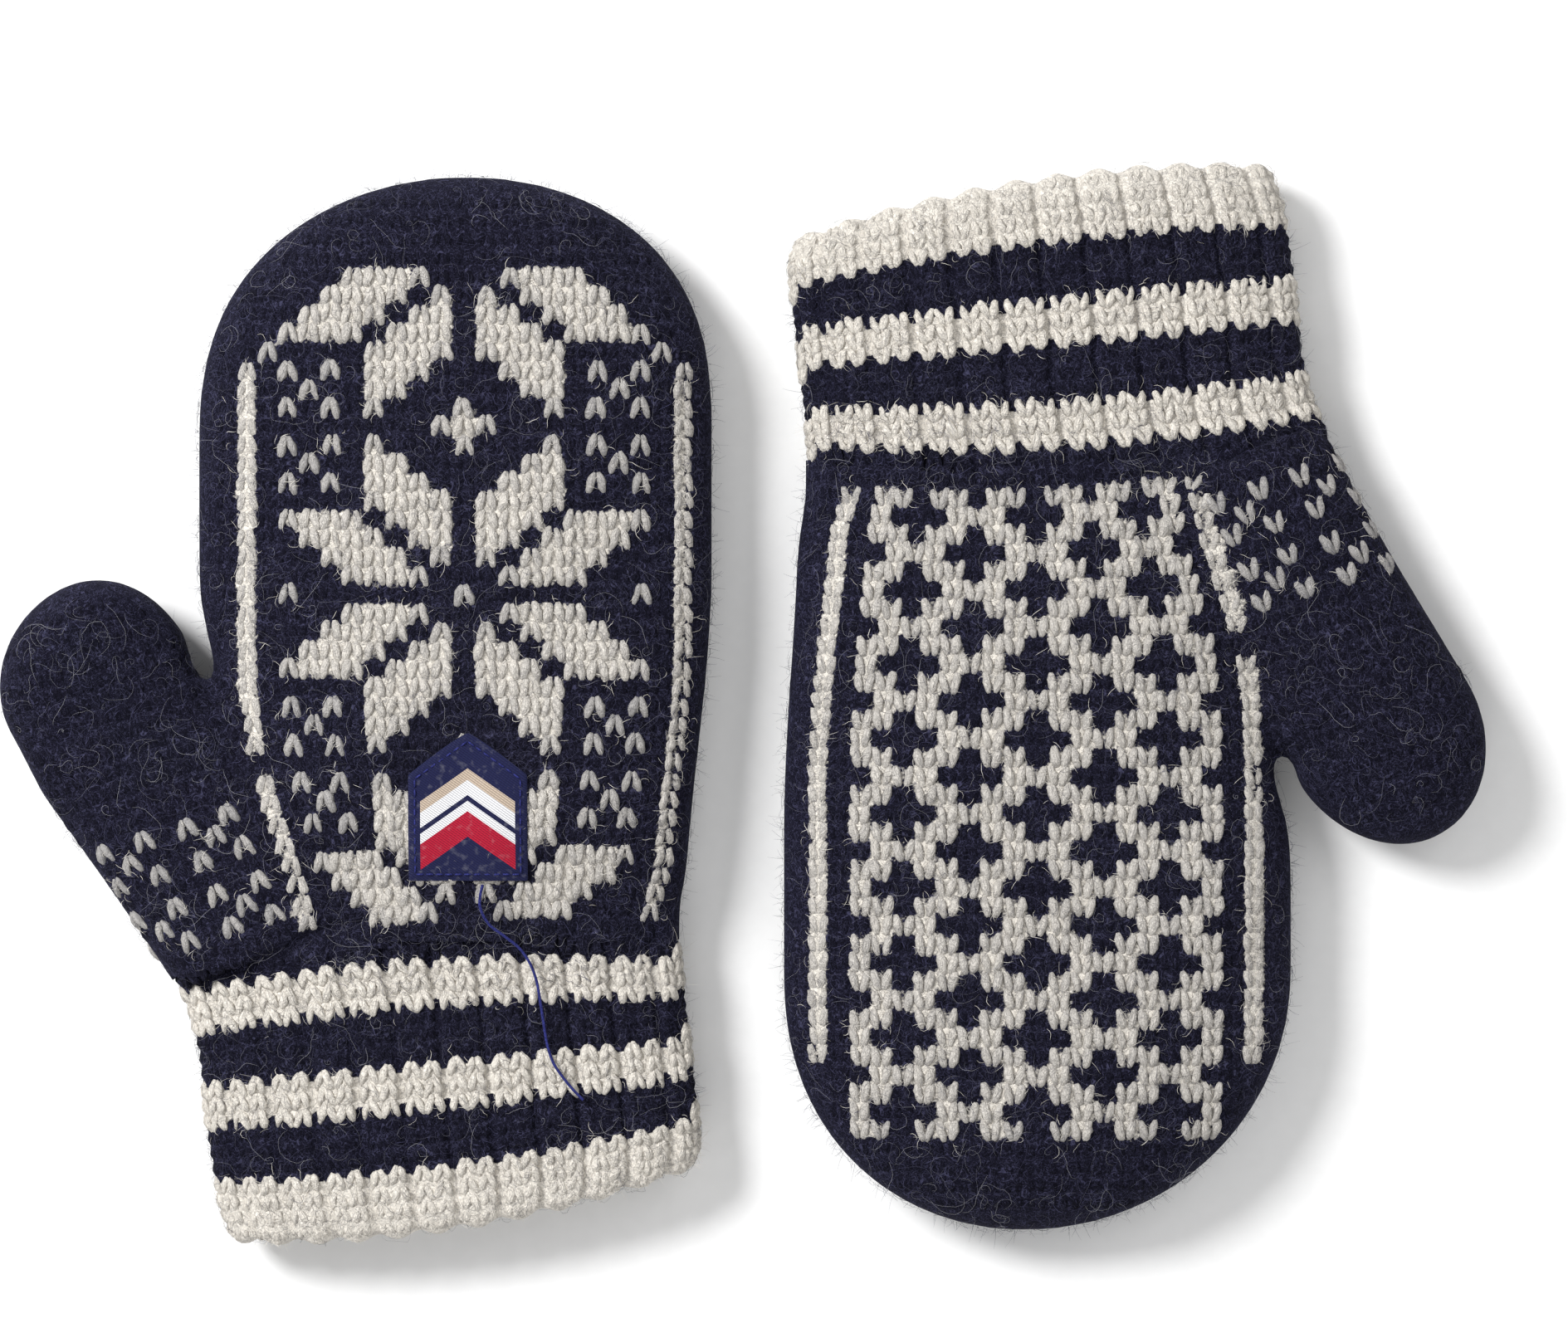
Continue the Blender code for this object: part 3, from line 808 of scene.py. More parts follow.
# ---- Cuff -----------------------------------------------------------------------------
@dataclass
class Cuff:
    """The striped ribbing below the wrist, with its light cast-off edge."""

    fit: Fit
    around: int = 384
    ribs: int = 24
    relief: float = 1.1 * MM
    wall: float = 3.0 * MM
    row: float = 3.43 * MM
    join: float = 0.5  # ribs from the side at which the rounds are joined
    rows: int = 17
    first_welt_row: int = 13
    top: float = 2.0 * MM  # level at which the wall starts, under the hand's skin
    split: float = -48.5 * MM  # level at which the cast-off edge begins
    hem: float = HEM_ROW + 1.7 * MM  # level at which the cast-off edge starts to round in
    scallop: float = 0.65 * MM
    scallop_start: float = -52.0 * MM

    BANDS = ((-7.65, -17.9), (-28.2, -38.3), (-48.5, -70.0))

    def chord(self, level: np.ndarray) -> tuple[np.ndarray, np.ndarray]:
        """The cuff's left and right edge in the plan, per level below the wrist."""
        share = np.clip((WRIST_ROW - level) / (WRIST_ROW - HEM_ROW), -0.2, 1.0)
        left = np.interp(share, [-0.2, 0, 0.12, 0.28, 0.6, 0.86, 1.0],
                         [-59.6, -58.0, -54.9, -52.8, -51.0, -48.8, -46.3]) * MM
        right = np.interp(share, [-0.2, 0, 0.28, 0.75, 0.9, 1.0], [45.6, 45.4, 46.8, 49.2, 49.8, 48.2]) * MM
        right = right + self.fit.cuff_far
        return left, right

    def place(self, angle: np.ndarray, level: np.ndarray, inset: float) -> np.ndarray:
        """Points of the cuff's wall.

        Args:
            angle: round the cuff, 0 at the side away from the thumb, a quarter turn on top.
            level: below the wrist along the knitting, negative.
            inset: how far inside the outside of the wall.
        Returns:
            Points as rows of three, in the plan.
        """
        left, right = self.chord(level)
        centre, half = (left + right) / 2, (right - left) / 2
        c, s = np.cos(angle), np.sin(angle)
        across = np.sign(c) * np.abs(c) ** 0.84
        up = np.sign(s) * np.abs(s) ** 0.62
        share = np.clip((WRIST_ROW - level) / (WRIST_ROW - HEM_ROW), 0.0, 1.0)
        tilt, bow = 2.8 + 4.45 * share, -4.2 + 8.45 * share
        y = level + (tilt * across + bow * across**2) * MM - 0.55 * MM * share
        flare = 1 - 0.14 * np.clip((share - 0.9) / 0.1, 0, 1) ** 2
        x = centre + across * (half - inset)
        z = CUFF_DEPTH / 2 + 0.4 * MM + up * (CUFF_DEPTH / 2 - inset) * flare
        return np.column_stack([x, y, z])

    def spread(self, count: int) -> np.ndarray:
        """Angles that lie evenly round the cuff, measured along its wall."""
        fine = np.linspace(0, 2 * math.pi, 4001)
        points = self.place(fine, np.full_like(fine, -30 * MM), 0.0)
        points[:, 1] = 0
        walked = np.concatenate([[0], np.cumsum(np.linalg.norm(np.diff(points, axis=0), axis=1))])
        return np.interp(np.arange(count) / count * walked[-1], walked, fine)

    def light(self, level: np.ndarray) -> np.ndarray:
        """How light the knitting is at each level: 1 in a light stripe."""
        found = np.zeros_like(level)
        for top, bottom in self.BANDS:
            inside = np.minimum(top * MM - level, level - bottom * MM)
            found = np.maximum(found, np.clip(inside / (0.5 * MM) + 0.5, 0, 1))
        return found

    def wave(self, phase: np.ndarray) -> np.ndarray:
        """The rib's relief round the cuff: 1 on the broad knit columns, 0 in the valleys."""
        valley = 0.5 - np.abs(((phase * self.ribs) % 1.0) - 0.5)
        return smooth((valley - 0.01) / 0.19)

    def climb(self, phase: np.ndarray) -> np.ndarray:
        """How far the stripes have climbed: each round ends one row higher than it began."""
        along = (phase - self.join / self.ribs) % 1.0
        return self.row * np.clip(along * 2 - 1, 0, 1)

    def wall_piece(self, name: str, top: float, bottom: float, hem: bool) -> bpy.types.Object:
        """A length of the cuff's wall, open at both ends, in the plan.

        Args:
            name: of the object.
            top: level at which it starts.
            bottom: level at which it ends.
            hem: whether its lower edge is rounded as the cast-off edge.
        Returns:
            The object.
        """
        angles = self.spread(self.around)
        phase = np.arange(self.around) / self.around
        crest = self.wave(phase)
        steps = max(8, round((top - bottom) / (0.85 * MM)))
        levels, insets = np.linspace(top, bottom, steps), np.zeros(steps)
        if hem:
            levels = np.concatenate([levels, bottom - np.array([0.8, 1.4, 1.7]) * MM])
            insets = np.concatenate([insets, np.array([0.2, 0.6, 1.2]) * MM])
        outer, inner, stripes = [], [], []
        for level, round_in in zip(levels, insets):
            near_hem = float(np.clip((self.scallop_start - level) / (9 * MM), 0, 1))
            scallop = -self.scallop * np.cos(2 * math.pi * self.ribs * phase) * near_hem
            row = level - scallop
            faded = float(np.clip((2 * MM - level) / (9 * MM), 0, 1))
            depth = self.relief * (1 - crest) * faded
            base, deep = self.place(angles, row, 0.0), self.place(angles, row, self.wall)
            inward = (deep - base) / self.wall
            outer.append(base + inward * (depth + round_in)[:, None])
            inner.append(deep - inward * (round_in * 0.8 - depth * 0.4)[:, None])
            shown = row - self.climb(phase)
            valley = (1 - crest) * 0.8 * MM
            upper, lower = shown + valley + 1.9 * MM, shown - valley - 0.7 * MM
            stripes.append(np.minimum(self.light(upper), self.light(lower)))
        rings = np.array(outer + inner[::-1])
        light = np.array(stripes + stripes[::-1])
        count = len(rings)
        step = np.arange(self.around)
        after = (step + 1) % self.around
        last = (count - 1) * self.around
        closing = np.column_stack([step + last, after + last, after, step])
        faces = np.concatenate([ring_faces(count, self.around), closing])
        made = new_object(name, rings.reshape(-1, 3), faces)
        face_outwards(made)
        set_attribute(made, "cream", light.reshape(-1))
        return made

    def stitches(self, random: np.random.Generator) -> list[Stitch]:
        """Two knit columns on each rib, row by row."""
        found = []
        rib_angles = self.spread(self.ribs * 200)
        for rib in range(self.ribs):
            for column in (-0.225, 0.225):
                phase = (rib + 0.5 + column) / self.ribs % 1.0
                angle = rib_angles[int(phase * self.ribs * 200) % (self.ribs * 200)]
                for row in range(self.rows):
                    level = WRIST_ROW - (row + 0.35) * self.row
                    here = self.place(np.array([angle]), np.array([level]), 0.0)[0]
                    above = self.place(np.array([angle]), np.array([level + 1 * MM]), 0.0)[0]
                    inside = self.place(np.array([angle]), np.array([level]), 1 * MM)[0]
                    up = (above - here) / np.linalg.norm(above - here)
                    normal = here - inside
                    normal -= up * (normal @ up)
                    normal /= np.linalg.norm(normal)
                    light = self.light(level - self.climb(np.array([phase])))[0] > 0.5
                    edge = row >= self.first_welt_row
                    place = here + up * random.normal(0, 0.15 * MM)
                    found.append(Stitch(place, up, normal, 4.35 * MM, 5.0 * MM,
                                        Yarn.CREAM if light else Yarn.NAVY, "welt" if edge else "cuff",
                                        sunk=0.1 + 0.13 * (row - self.first_welt_row) if edge else 0.0))
        return found


# ---- Fuzz -----------------------------------------------------------------------------
@dataclass(frozen=True)
class FibreKind:
    """One kind of loose fibre, in millimetres: how many a stitch sheds, and their sizes."""

    number: float
    spread: float  # how far from the stitch they start
    length: tuple[float, float]
    radius: tuple[float, float]
    height: tuple[float, float]  # how far they stand off in their middle
    bend: float  # how far they turn along their whole length, in radians
    points: int


LONG_CURL = FibreKind(1.7, 1.5, (3, 12), (0.011, 0.024), (0.45, 1.2), 6.5, 9)
CREAM_FUZZ = FibreKind(5.4, 1.2, (1.2, 3.2), (0.02, 0.045), (0.4, 0.8), 2.2, 5)
DARK_ON_CREAM = FibreKind(2.2, 1.6, (2.0, 6.0), (0.018, 0.032), (0.6, 1.0), 5.0, 7)
NAVY_FUZZ = FibreKind(1.6, 1.6, (1.6, 4.2), (0.025, 0.05), (0.25, 0.6), 3.5, 6)
UNDER_CURLS = 0.15  # long curls a stitch of the underside sheds
RIM_HAIRS, OTHER_HAIRS = 4.5, 0.3
DARK_CURLS = 0.8  # share of the long curls on a light stitch that are dark


@dataclass
class Fuzz:
    """Loose fibres that stand off the felt."""

    fit: Fit
    seed: int

    def __post_init__(self) -> None:
        """Seeds the fibres."""
        self.random = np.random.default_rng(self.seed)

    def curl(self, strands: Strands, ground: Ground, start: np.ndarray, kind: FibreKind) -> None:
        """Adds one fibre that wanders over the surface.

        Args:
            strands: where the fibre goes.
            ground: the surface.
            start: a point near the surface.
            kind: what it is like.
        """
        random, points = self.random, kind.points
        length, radius, height = (random.uniform(*limits) * MM
                                  for limits in (kind.length, kind.radius, kind.height))
        here, normal = ground.snap(start)
        heading = random.uniform(0, 2 * math.pi)
        turn = random.choice((-1, 1)) * random.uniform(0.15, 1.0) * kind.bend / points
        wander = random.normal(0, 2.2)
        step = length / (points - 1)
        ease = np.sin(np.linspace(0.15, math.pi - 0.15, points)) ** 0.7
        line, normals = np.empty((points, 3)), np.empty((points, 3))
        side = np.cross(normal, [0.3, 0.2, 0.93])
        side /= np.linalg.norm(side) + 1e-9
        for k in range(points):
            line[k] = here + normal * (height * ease[k] + 0.1 * MM)
            normals[k] = normal
            other = np.cross(normal, side)
            way = side * math.cos(heading) + other * math.sin(heading)
            here, normal = ground.snap(here + way * step)
            side = side - normal * (side @ normal)
            side /= np.linalg.norm(side) + 1e-9
            heading += turn * (1 + wander * (k / points - 0.5)) + random.normal(0, 0.25)
        taper = radius * (0.45 + 0.55 * np.sin(np.linspace(0.2, math.pi - 0.2, points)))
        strands.add(line, normals, taper, 1.0, random.random() ** 1.7)

    def hair(self, strands: Strands, place: np.ndarray, normal: np.ndarray, length: float,
             radius: float) -> None:
        """Adds one short fibre that stands out from the surface."""
        random = self.random
        way = normal + random.normal(0, 0.55, 3)
        way /= np.linalg.norm(way)
        droop = random.normal(0, 0.5, 3) * length
        share = np.linspace(0, 1, 5)[:, None]
        line = place - normal * 0.2 * MM + way * length * share + droop * share**2 * 0.5
        taper = radius * np.linspace(1.0, 0.35, 5)
        strands.add(line, np.tile(np.cross(way, [0.1, 0.9, 0.2]), (5, 1)), taper, 1.0, random.random())


# ---- Finishes -------------------------------------------------------------------------
class Nodes:
    """A short way to write a material's nodes."""

    def __init__(self, name: str, roughness: float) -> None:
        """Starts a material with its shader."""
        self.material = bpy.data.materials.new(name)
        self.material.use_nodes = True
        self.tree = self.material.node_tree
        self.shader = self.tree.nodes["Principled BSDF"]
        self.shader.inputs["Roughness"].default_value = roughness
        self.place = self.add("ShaderNodeTexCoord").outputs["Object"]

    def add(self, kind: str, **settings: object) -> bpy.types.Node:
        """Adds a node with these settings."""
        node = self.tree.nodes.new(kind)
        for name, value in settings.items():
            setattr(node, name, value)
        return node

    def feed(self, node: bpy.types.Node, **inputs: object) -> bpy.types.Node:
        """Sets or links a node's inputs, named with _ for a space, or by number as in_0."""
        for name, value in inputs.items():
            key = int(name[3:]) if name.startswith("in_") else name.replace("_", " ")
            if isinstance(value, bpy.types.NodeSocket):
                self.tree.links.new(value, node.inputs[key])
            else:
                node.inputs[key].default_value = value
        return node

    def noise(self, scale: float, detail: float = 2.0, distortion: float = 0.0,
              stretch: tuple[float, float, float] = (1, 1, 1), shift: float = 0.0) -> bpy.types.NodeSocket:
        """Noise over the object's own coordinates."""
        mapping = self.feed(self.add("ShaderNodeMapping"), Vector=self.place, Scale=stretch,
                            Location=(shift, shift * 0.7, shift * 0.3))
        node = self.feed(self.add("ShaderNodeTexNoise"), Vector=mapping.outputs[0], Scale=scale,
                         Detail=detail, Distortion=distortion)
        return node.outputs["Fac"]

    def math(self, operation: str, a: object, b: object = 0.0, c: object = 0.0) -> bpy.types.NodeSocket:
        """One arithmetic step."""
        return self.feed(self.add("ShaderNodeMath", operation=operation), in_0=a, in_1=b, in_2=c).outputs[0]

    def ramp(self, value: object, low: float, high: float, start: float = 0.0,
             end: float = 1.0) -> bpy.types.NodeSocket:
        """A value carried from one range to another, and held inside it."""
        node = self.add("ShaderNodeMapRange")
        return self.feed(node, in_0=value, in_1=low, in_2=high, in_3=start, in_4=end).outputs[0]

    def mix(self, share: object, a: object, b: object) -> bpy.types.NodeSocket:
        """A colour between two others."""
        node = self.add("ShaderNodeMix", data_type="RGBA")
        for socket, value in ((node.inputs[0], share), (node.inputs[6], a), (node.inputs[7], b)):
            if isinstance(value, bpy.types.NodeSocket):
                self.tree.links.new(value, socket)
            else:
                socket.default_value = (*value, 1.0) if isinstance(value, tuple) else value
        return node.outputs[2]

    def attribute(self, name: str) -> bpy.types.NodeSocket:
        """A number that the mesh carries."""
        return self.add("ShaderNodeAttribute", attribute_name=name).outputs["Fac"]

    def strands(self, scale: float, width: float, shift: float) -> bpy.types.NodeSocket:
        """Thin wandering lines, as of fibres that lie in the felt."""
        field_ = self.noise(scale, 1.5, 1.4, shift=shift)
        return self.ramp(self.math("ABSOLUTE", self.math("SUBTRACT", field_, 0.5)), 0.0, width, 1.0, 0.0)

    def finish(self, colour: object, height: object, strength: float, depth: float, sheen: float,
               tint: Colour) -> bpy.types.Material:
        """Joins colour, relief and sheen to the shader."""
        bump = self.feed(self.add("ShaderNodeBump"), Strength=strength, Distance=depth, Height=height)
        self.feed(self.shader, Base_Color=colour, Normal=bump.outputs["Normal"])
        self.shader.inputs["Sheen Weight"].default_value = sheen
        self.shader.inputs["Sheen Roughness"].default_value = 0.5
        self.shader.inputs["Sheen Tint"].default_value = (*tint, 1.0)
        self.shader.inputs["Specular IOR Level"].default_value = 0.08
        return self.material


@dataclass(frozen=True)
class Wool:
    """A felted wool yarn: its body, its shaded depth and the fibres that cross it."""

    name: str
    body: Colour
    shade: Colour
    fibre: Colour
    grey: Colour
    depth: Colour  # between the fibres of a leg
    grain: float  # how strongly that shows
    sheen: float
    fibre_share: float

    def colours(self, nodes: Nodes) -> tuple[bpy.types.NodeSocket, bpy.types.NodeSocket]:
        """This wool's colour and relief.

        Args:
            nodes: the material that is being made.
        Returns:
            The colour and the height.
        """
        felt = nodes.noise(2600, 4.0, 0.6)
        patch = nodes.noise(240, 3.0, 0.4, shift=0.3)
        fine = nodes.strands(1000, 0.05, 0.11)
        long = nodes.strands(460, 0.028, 0.47)
        mottled = nodes.mix(nodes.ramp(felt, 0.32, 0.68), self.shade, self.body)
        mottled = nodes.mix(nodes.math("MULTIPLY", nodes.ramp(patch, 0.35, 0.75), 0.35), mottled, self.shade)
        lines = nodes.math("MAXIMUM", nodes.math("MULTIPLY", fine, 0.55), long)
        colour = nodes.mix(nodes.math("MULTIPLY", lines, self.fibre_share), mottled, self.fibre)
        height = nodes.math("ADD", nodes.math("MULTIPLY", felt, 0.7), nodes.math("MULTIPLY", lines, 0.5))
        return colour, height

    def material(self) -> bpy.types.Material:
        """The finish of yarn legs in this wool: fibres run along each leg, and some legs are greyer."""
        nodes = Nodes(self.name, 0.92)
        colour, height = self.colours(nodes)
        steps = [nodes.math("MULTIPLY", nodes.attribute(name), scale)
                 for name, scale in (("along", 2.2), ("round", 13.0), ("lot", 90.0))]
        leg = nodes.feed(nodes.add("ShaderNodeCombineXYZ"), in_0=steps[0], in_1=steps[1], in_2=steps[2])
        grain = nodes.feed(nodes.add("ShaderNodeTexNoise"), Vector=leg.outputs[0], Scale=1.6, Detail=3.0,
                           Distortion=0.5).outputs["Fac"]
        colour = nodes.mix(nodes.ramp(grain, 0.30, 0.55, self.grain, 0.0), colour, self.depth)
        colour = nodes.mix(nodes.math("MULTIPLY", nodes.attribute("tint"), 0.8), colour, self.grey)
        lot = nodes.math("MULTIPLY", nodes.attribute("lot"), 0.18)
        colour = nodes.mix(lot, colour, self.shade)
        relief = nodes.math("ADD", height, nodes.math("MULTIPLY", grain, 1.4))
        return nodes.finish(colour, relief, 0.85, 0.4 * MM, self.sheen, self.body)


NAVY_WOOL = Wool("navy wool", body=(0.0085, 0.0080, 0.0180), shade=(0.0030, 0.0029, 0.0070),
                 fibre=(0.060, 0.060, 0.115), grey=(0.02, 0.02, 0.04), depth=(0.002, 0.002, 0.005),
                 grain=0.7, sheen=0.03, fibre_share=0.80)
CREAM_WOOL = Wool("cream wool", body=(0.95, 0.90, 0.82), shade=(0.72, 0.675, 0.605),
                  fibre=(0.28, 0.265, 0.26), grey=(0.22, 0.22, 0.24), depth=(0.28, 0.26, 0.245),
                  grain=0.50, sheen=0.10, fibre_share=0.38)


@dataclass(frozen=True)
class Felt:
    """The felt under the stitches, dark or light as the pattern over it is."""

    name: str = "felted wool"
    painted_gap_shade: Colour = (0.36, 0.34, 0.31)  # painted shade: grey mixed into the light wool, for the gaps between the legs
    painted_hole_shade: Colour = (0.14, 0.14, 0.15)  # painted shade: dark specks for the small holes between the legs

    def material(self) -> bpy.types.Material:
        """This felt's material, which reads how light each point of the mesh is."""
        nodes = Nodes(self.name, 0.95)
        dark, height = NAVY_WOOL.colours(nodes)
        light, _ = CREAM_WOOL.colours(nodes)
        # painted shade: the light felt, seen only between the legs, is greyed to stand for the shade in those
        # gaps
        light = nodes.mix(0.16, light, self.painted_gap_shade)
        # painted shade: dark specks scattered through the light felt, standing for the small holes between
        # the legs
        painted_hole_shade = nodes.ramp(nodes.noise(1150, 3.0, 0.5, shift=0.6), 0.52, 0.66, 0.0, 0.34)
        light = nodes.mix(painted_hole_shade, light, self.painted_hole_shade)
        ragged = nodes.math("MULTIPLY", nodes.math("SUBTRACT", nodes.noise(1500, 3.0), 0.5), 0.7)
        share = nodes.ramp(nodes.math("ADD", nodes.attribute("cream"), ragged), 0.42, 0.66)
        return nodes.finish(nodes.mix(share, dark, light), height, 0.8, 0.4 * MM, 0.1, (0.1, 0.1, 0.2))


@dataclass(frozen=True)
class LooseFibres:
    """Loose fibres, from dark to pale."""

    name: str
    pale: Colour
    dark: Colour

    def material(self) -> bpy.types.Material:
        """These fibres' material, which reads how pale each one is."""
        nodes = Nodes(self.name, 0.6)
        colour = nodes.mix(nodes.ramp(nodes.attribute("tint"), 0.1, 0.9), self.dark, self.pale)
        return nodes.finish(colour, nodes.noise(3000), 0.1, 0.05 * MM, 0.1, self.pale)


@dataclass(frozen=True)
class Fleece:
    """The brushed fleece of the linings."""

    name: str = "fleece"
    low: Colour = (0.030, 0.032, 0.045)
    high: Colour = (0.13, 0.135, 0.17)
    tuft: Colour = (0.06, 0.063, 0.085)

    def material(self) -> bpy.types.Material:
        """This fleece's material."""
        nodes = Nodes(self.name, 0.96)
        pile = nodes.noise(1400, 5.0, 1.2)
        tuft = nodes.noise(420, 3.0, 0.8, shift=0.2)
        colour = nodes.mix(nodes.ramp(pile, 0.3, 0.7), self.low, self.high)
        colour = nodes.mix(nodes.math("MULTIPLY", nodes.ramp(tuft, 0.4, 0.7), 0.4), colour, self.tuft)
        height = nodes.math("ADD", pile, nodes.math("MULTIPLY", tuft, 1.5))
        return nodes.finish(colour, height, 0.9, 0.8 * MM, 0.4, (0.5, 0.5, 0.6))


@dataclass(frozen=True)
class SewingThread:
    """Twisted blue sewing thread."""

    name: str = "sewing thread"
    dark: Colour = (0.010, 0.012, 0.06)
    pale: Colour = (0.035, 0.040, 0.20)

    def material(self) -> bpy.types.Material:
        """This thread's material."""
        nodes = Nodes(self.name, 0.5)
        ply = nodes.noise(5200, 2.0, 0.2, (1.0, 0.5, 1.0))
        colour = nodes.mix(nodes.ramp(ply, 0.35, 0.65), self.dark, self.pale)
        return nodes.finish(colour, ply, 0.5, 0.08 * MM, 0.1, (0.3, 0.3, 0.7))


# ---- Label ----------------------------------------------------------------------------
@dataclass
class Label:
    """The small woven label on the back of the right mitten, and its sewing thread."""

    fit: Fit
    ground: Ground
    width: float = 24.0 * MM
    height: float = 30.0 * MM
    peak: float = 8.5 * MM
    foot: float = 7.5 * MM
    offset: float = 3.0 * MM
    thickness: float = 0.7 * MM
    lift: float = 0.95 * MM  # over the felt, on the stitches
    thread: float = 0.6 * MM

    ROUTE = (
        (0.0061, 0.0068, 0.02690), (0.0056, 0.0045, 0.02672), (0.0056, 0.0020, 0.02610),
        (0.0072, -0.0012, 0.02500), (0.0104, -0.0038, 0.02400), (0.0133, -0.0062, 0.02330),
        (0.0155, -0.0094, 0.02280), (0.0168, -0.0130, 0.02240), (0.0175, -0.0170, 0.02210),
        (0.0182, -0.0215, 0.02180), (0.0189, -0.0258, 0.02160), (0.0201, -0.0295, 0.02150),
        (0.0219, -0.0323, 0.02145), (0.0240, -0.0349, 0.02140), (0.0262, -0.0372, 0.02135),
    )

    def roof(self, across: np.ndarray) -> np.ndarray:
        """The height of the label's upper edge over its foot, at a place from -1 to 1."""
        return self.height - self.peak * np.abs(across) ** 1.15

    def level(self, x: float, y: float) -> float:
        """The height at which the label lies."""
        near = [self.ground.drop(x + dx, y + dy, True)[0].z
                for dx in (-2.5 * MM, 0.0, 2.5 * MM) for dy in (-2.5 * MM, 0.0, 2.5 * MM)]
        return float(np.mean(near)) + self.lift

    def cloth(self) -> bpy.types.Object:
        """The label's woven cloth: a sheet with a pointed end, its cut edges folded under."""
        columns, rows = 49, 57
        points, uv = [], []
        for j in range(rows):
            for i in range(columns):
                across, share = -1 + 2 * i / (columns - 1), j / (rows - 1)
                x = self.offset + across * self.width / 2
                y = self.foot + self.roof(np.array(across)) * share
                wave = 0.10 * MM * math.sin(9 * share + 3 * across)
                wave += 0.12 * MM * math.sin(5.5 * across - 2 * share)
                rim = min(1 - abs(across), share, 1 - share)
                turned_down = 0.35 * MM * (1 - float(smooth(np.array(rim / 0.05))))
                points.append((x, y, self.level(x, float(y)) + wave - turned_down))
                uv.append((0.5 + across / 2, float(y - self.foot) / self.height))
        step, row = np.meshgrid(np.arange(columns - 1), np.arange(rows - 1))
        a = (row * columns + step).ravel()
        faces = np.column_stack([a, a + 1, a + columns + 1, a + columns])
        made = new_object("woven_label_cloth", self.fit.world(np.array(points)), faces)
        layer = made.data.uv_layers.new(name="weave")
        for loop in made.data.loops:
            layer.data[loop.index].uv = uv[loop.vertex_index]
        thicken(made, self.thickness, 0.0)
        rounded = made.modifiers.new("folded edge", "BEVEL")
        rounded.width = 0.25 * MM
        rounded.segments = 3
        rounded.limit_method = "ANGLE"
        apply_all(made)
        made.data.materials.append(self.woven())
        return made

    def woven(self) -> bpy.types.Material:
        """Twill in plain bands that follow the pointed end, inside a dark border."""
        nodes = Nodes("woven label", 0.55)
        uv = nodes.add("ShaderNodeUVMap", uv_map="weave").outputs["UV"]
        parts = nodes.feed(nodes.add("ShaderNodeSeparateXYZ"), in_0=uv)
        across, up = parts.outputs[0], parts.outputs[1]
        off_middle = nodes.math("ABSOLUTE", nodes.math("SUBTRACT", across, 0.5))
        gable = nodes.math("ADD", up, nodes.math("MULTIPLY", off_middle, 0.56))
        bands = nodes.add("ShaderNodeValToRGB")
        bands.color_ramp.interpolation = "CONSTANT"
        navy, red = (0.013, 0.015, 0.058, 1), (0.42, 0.012, 0.035, 1)
        white, beige = (0.78, 0.78, 0.80, 1), (0.52, 0.42, 0.33, 1)
        stops = ((0.0, navy), (0.30, red), (0.47, white), (0.54, navy), (0.58, white), (0.68, beige),
                 (0.76, navy))
        ramp = bands.color_ramp.elements
        while len(ramp) < len(stops):
            ramp.new(0.5)
        for element, (place, colour) in zip(ramp, stops):
            element.position, element.color = place, colour
        nodes.tree.links.new(gable, bands.inputs[0])
        inside = nodes.math("LESS_THAN", off_middle, 0.40)
        colour = nodes.mix(inside, navy[:3], bands.outputs[0])
        slant = nodes.math("ADD", nodes.math("MULTIPLY", across, 62.0), nodes.math("MULTIPLY", up, 110.0))
        twill = nodes.math("PINGPONG", slant, 1.0)
        weft = nodes.math("PINGPONG", nodes.math("MULTIPLY", up, 150.0), 1.0)
        colour = nodes.mix(nodes.ramp(twill, 0.0, 0.6, 0.62, 0.0), colour, (0.004, 0.004, 0.012))
        worn = nodes.ramp(nodes.noise(700, 3.0), 0.55, 0.8, 0.0, 0.12)
        colour = nodes.mix(worn, colour, (0.6, 0.6, 0.65))
        relief = nodes.math("ADD", twill, nodes.math("MULTIPLY", weft, 0.5))
        return nodes.finish(colour, relief, 0.7, 0.12 * MM, 0.15, (0.5, 0.5, 0.7))

    def stitching(self) -> bpy.types.Object:
        """The small stitches that hold the label, all round inside its edge."""
        inset = 1.3 * MM
        half = self.width / 2 - inset
        low, top = self.foot + inset, self.foot + self.height - inset * 1.3
        shoulder = self.foot + self.height - self.peak - inset * 0.6
        corners = [(-half, low), (half, low), (half, shoulder), (0, top), (-half, shoulder), (-half, low)]
        strands = Strands(6)
        random = np.random.default_rng(11)
        for (x0, y0), (x1, y1) in zip(corners, corners[1:]):
            length = math.hypot(x1 - x0, y1 - y0)
            count = max(2, round(length / (1.9 * MM)))
            for k in range(count):
                a, b = (k + 0.12) / count, (k + 0.88) / count
                shares = np.linspace(a, b, 5)
                line = []
                for n, share in enumerate(shares):
                    x, y = self.offset + x0 + (x1 - x0) * share, y0 + (y1 - y0) * share
                    arch = (0.0, 0.16, 0.2, 0.16, 0.0)[n] * MM
                    line.append((x, y, self.level(x, y) + self.thickness / 2 + arch - 0.02 * MM))
                radius = np.array([0.14, 0.2, 0.21, 0.2, 0.14]) * MM
                strands.add(np.array(line), np.tile((0.0, 0.0, 1.0), (5, 1)), radius, 0.8, random.random())
        made = strands.mesh("woven_label_stitches", self.fit)
        made.data.materials.append(SewingThread().material())
        return made

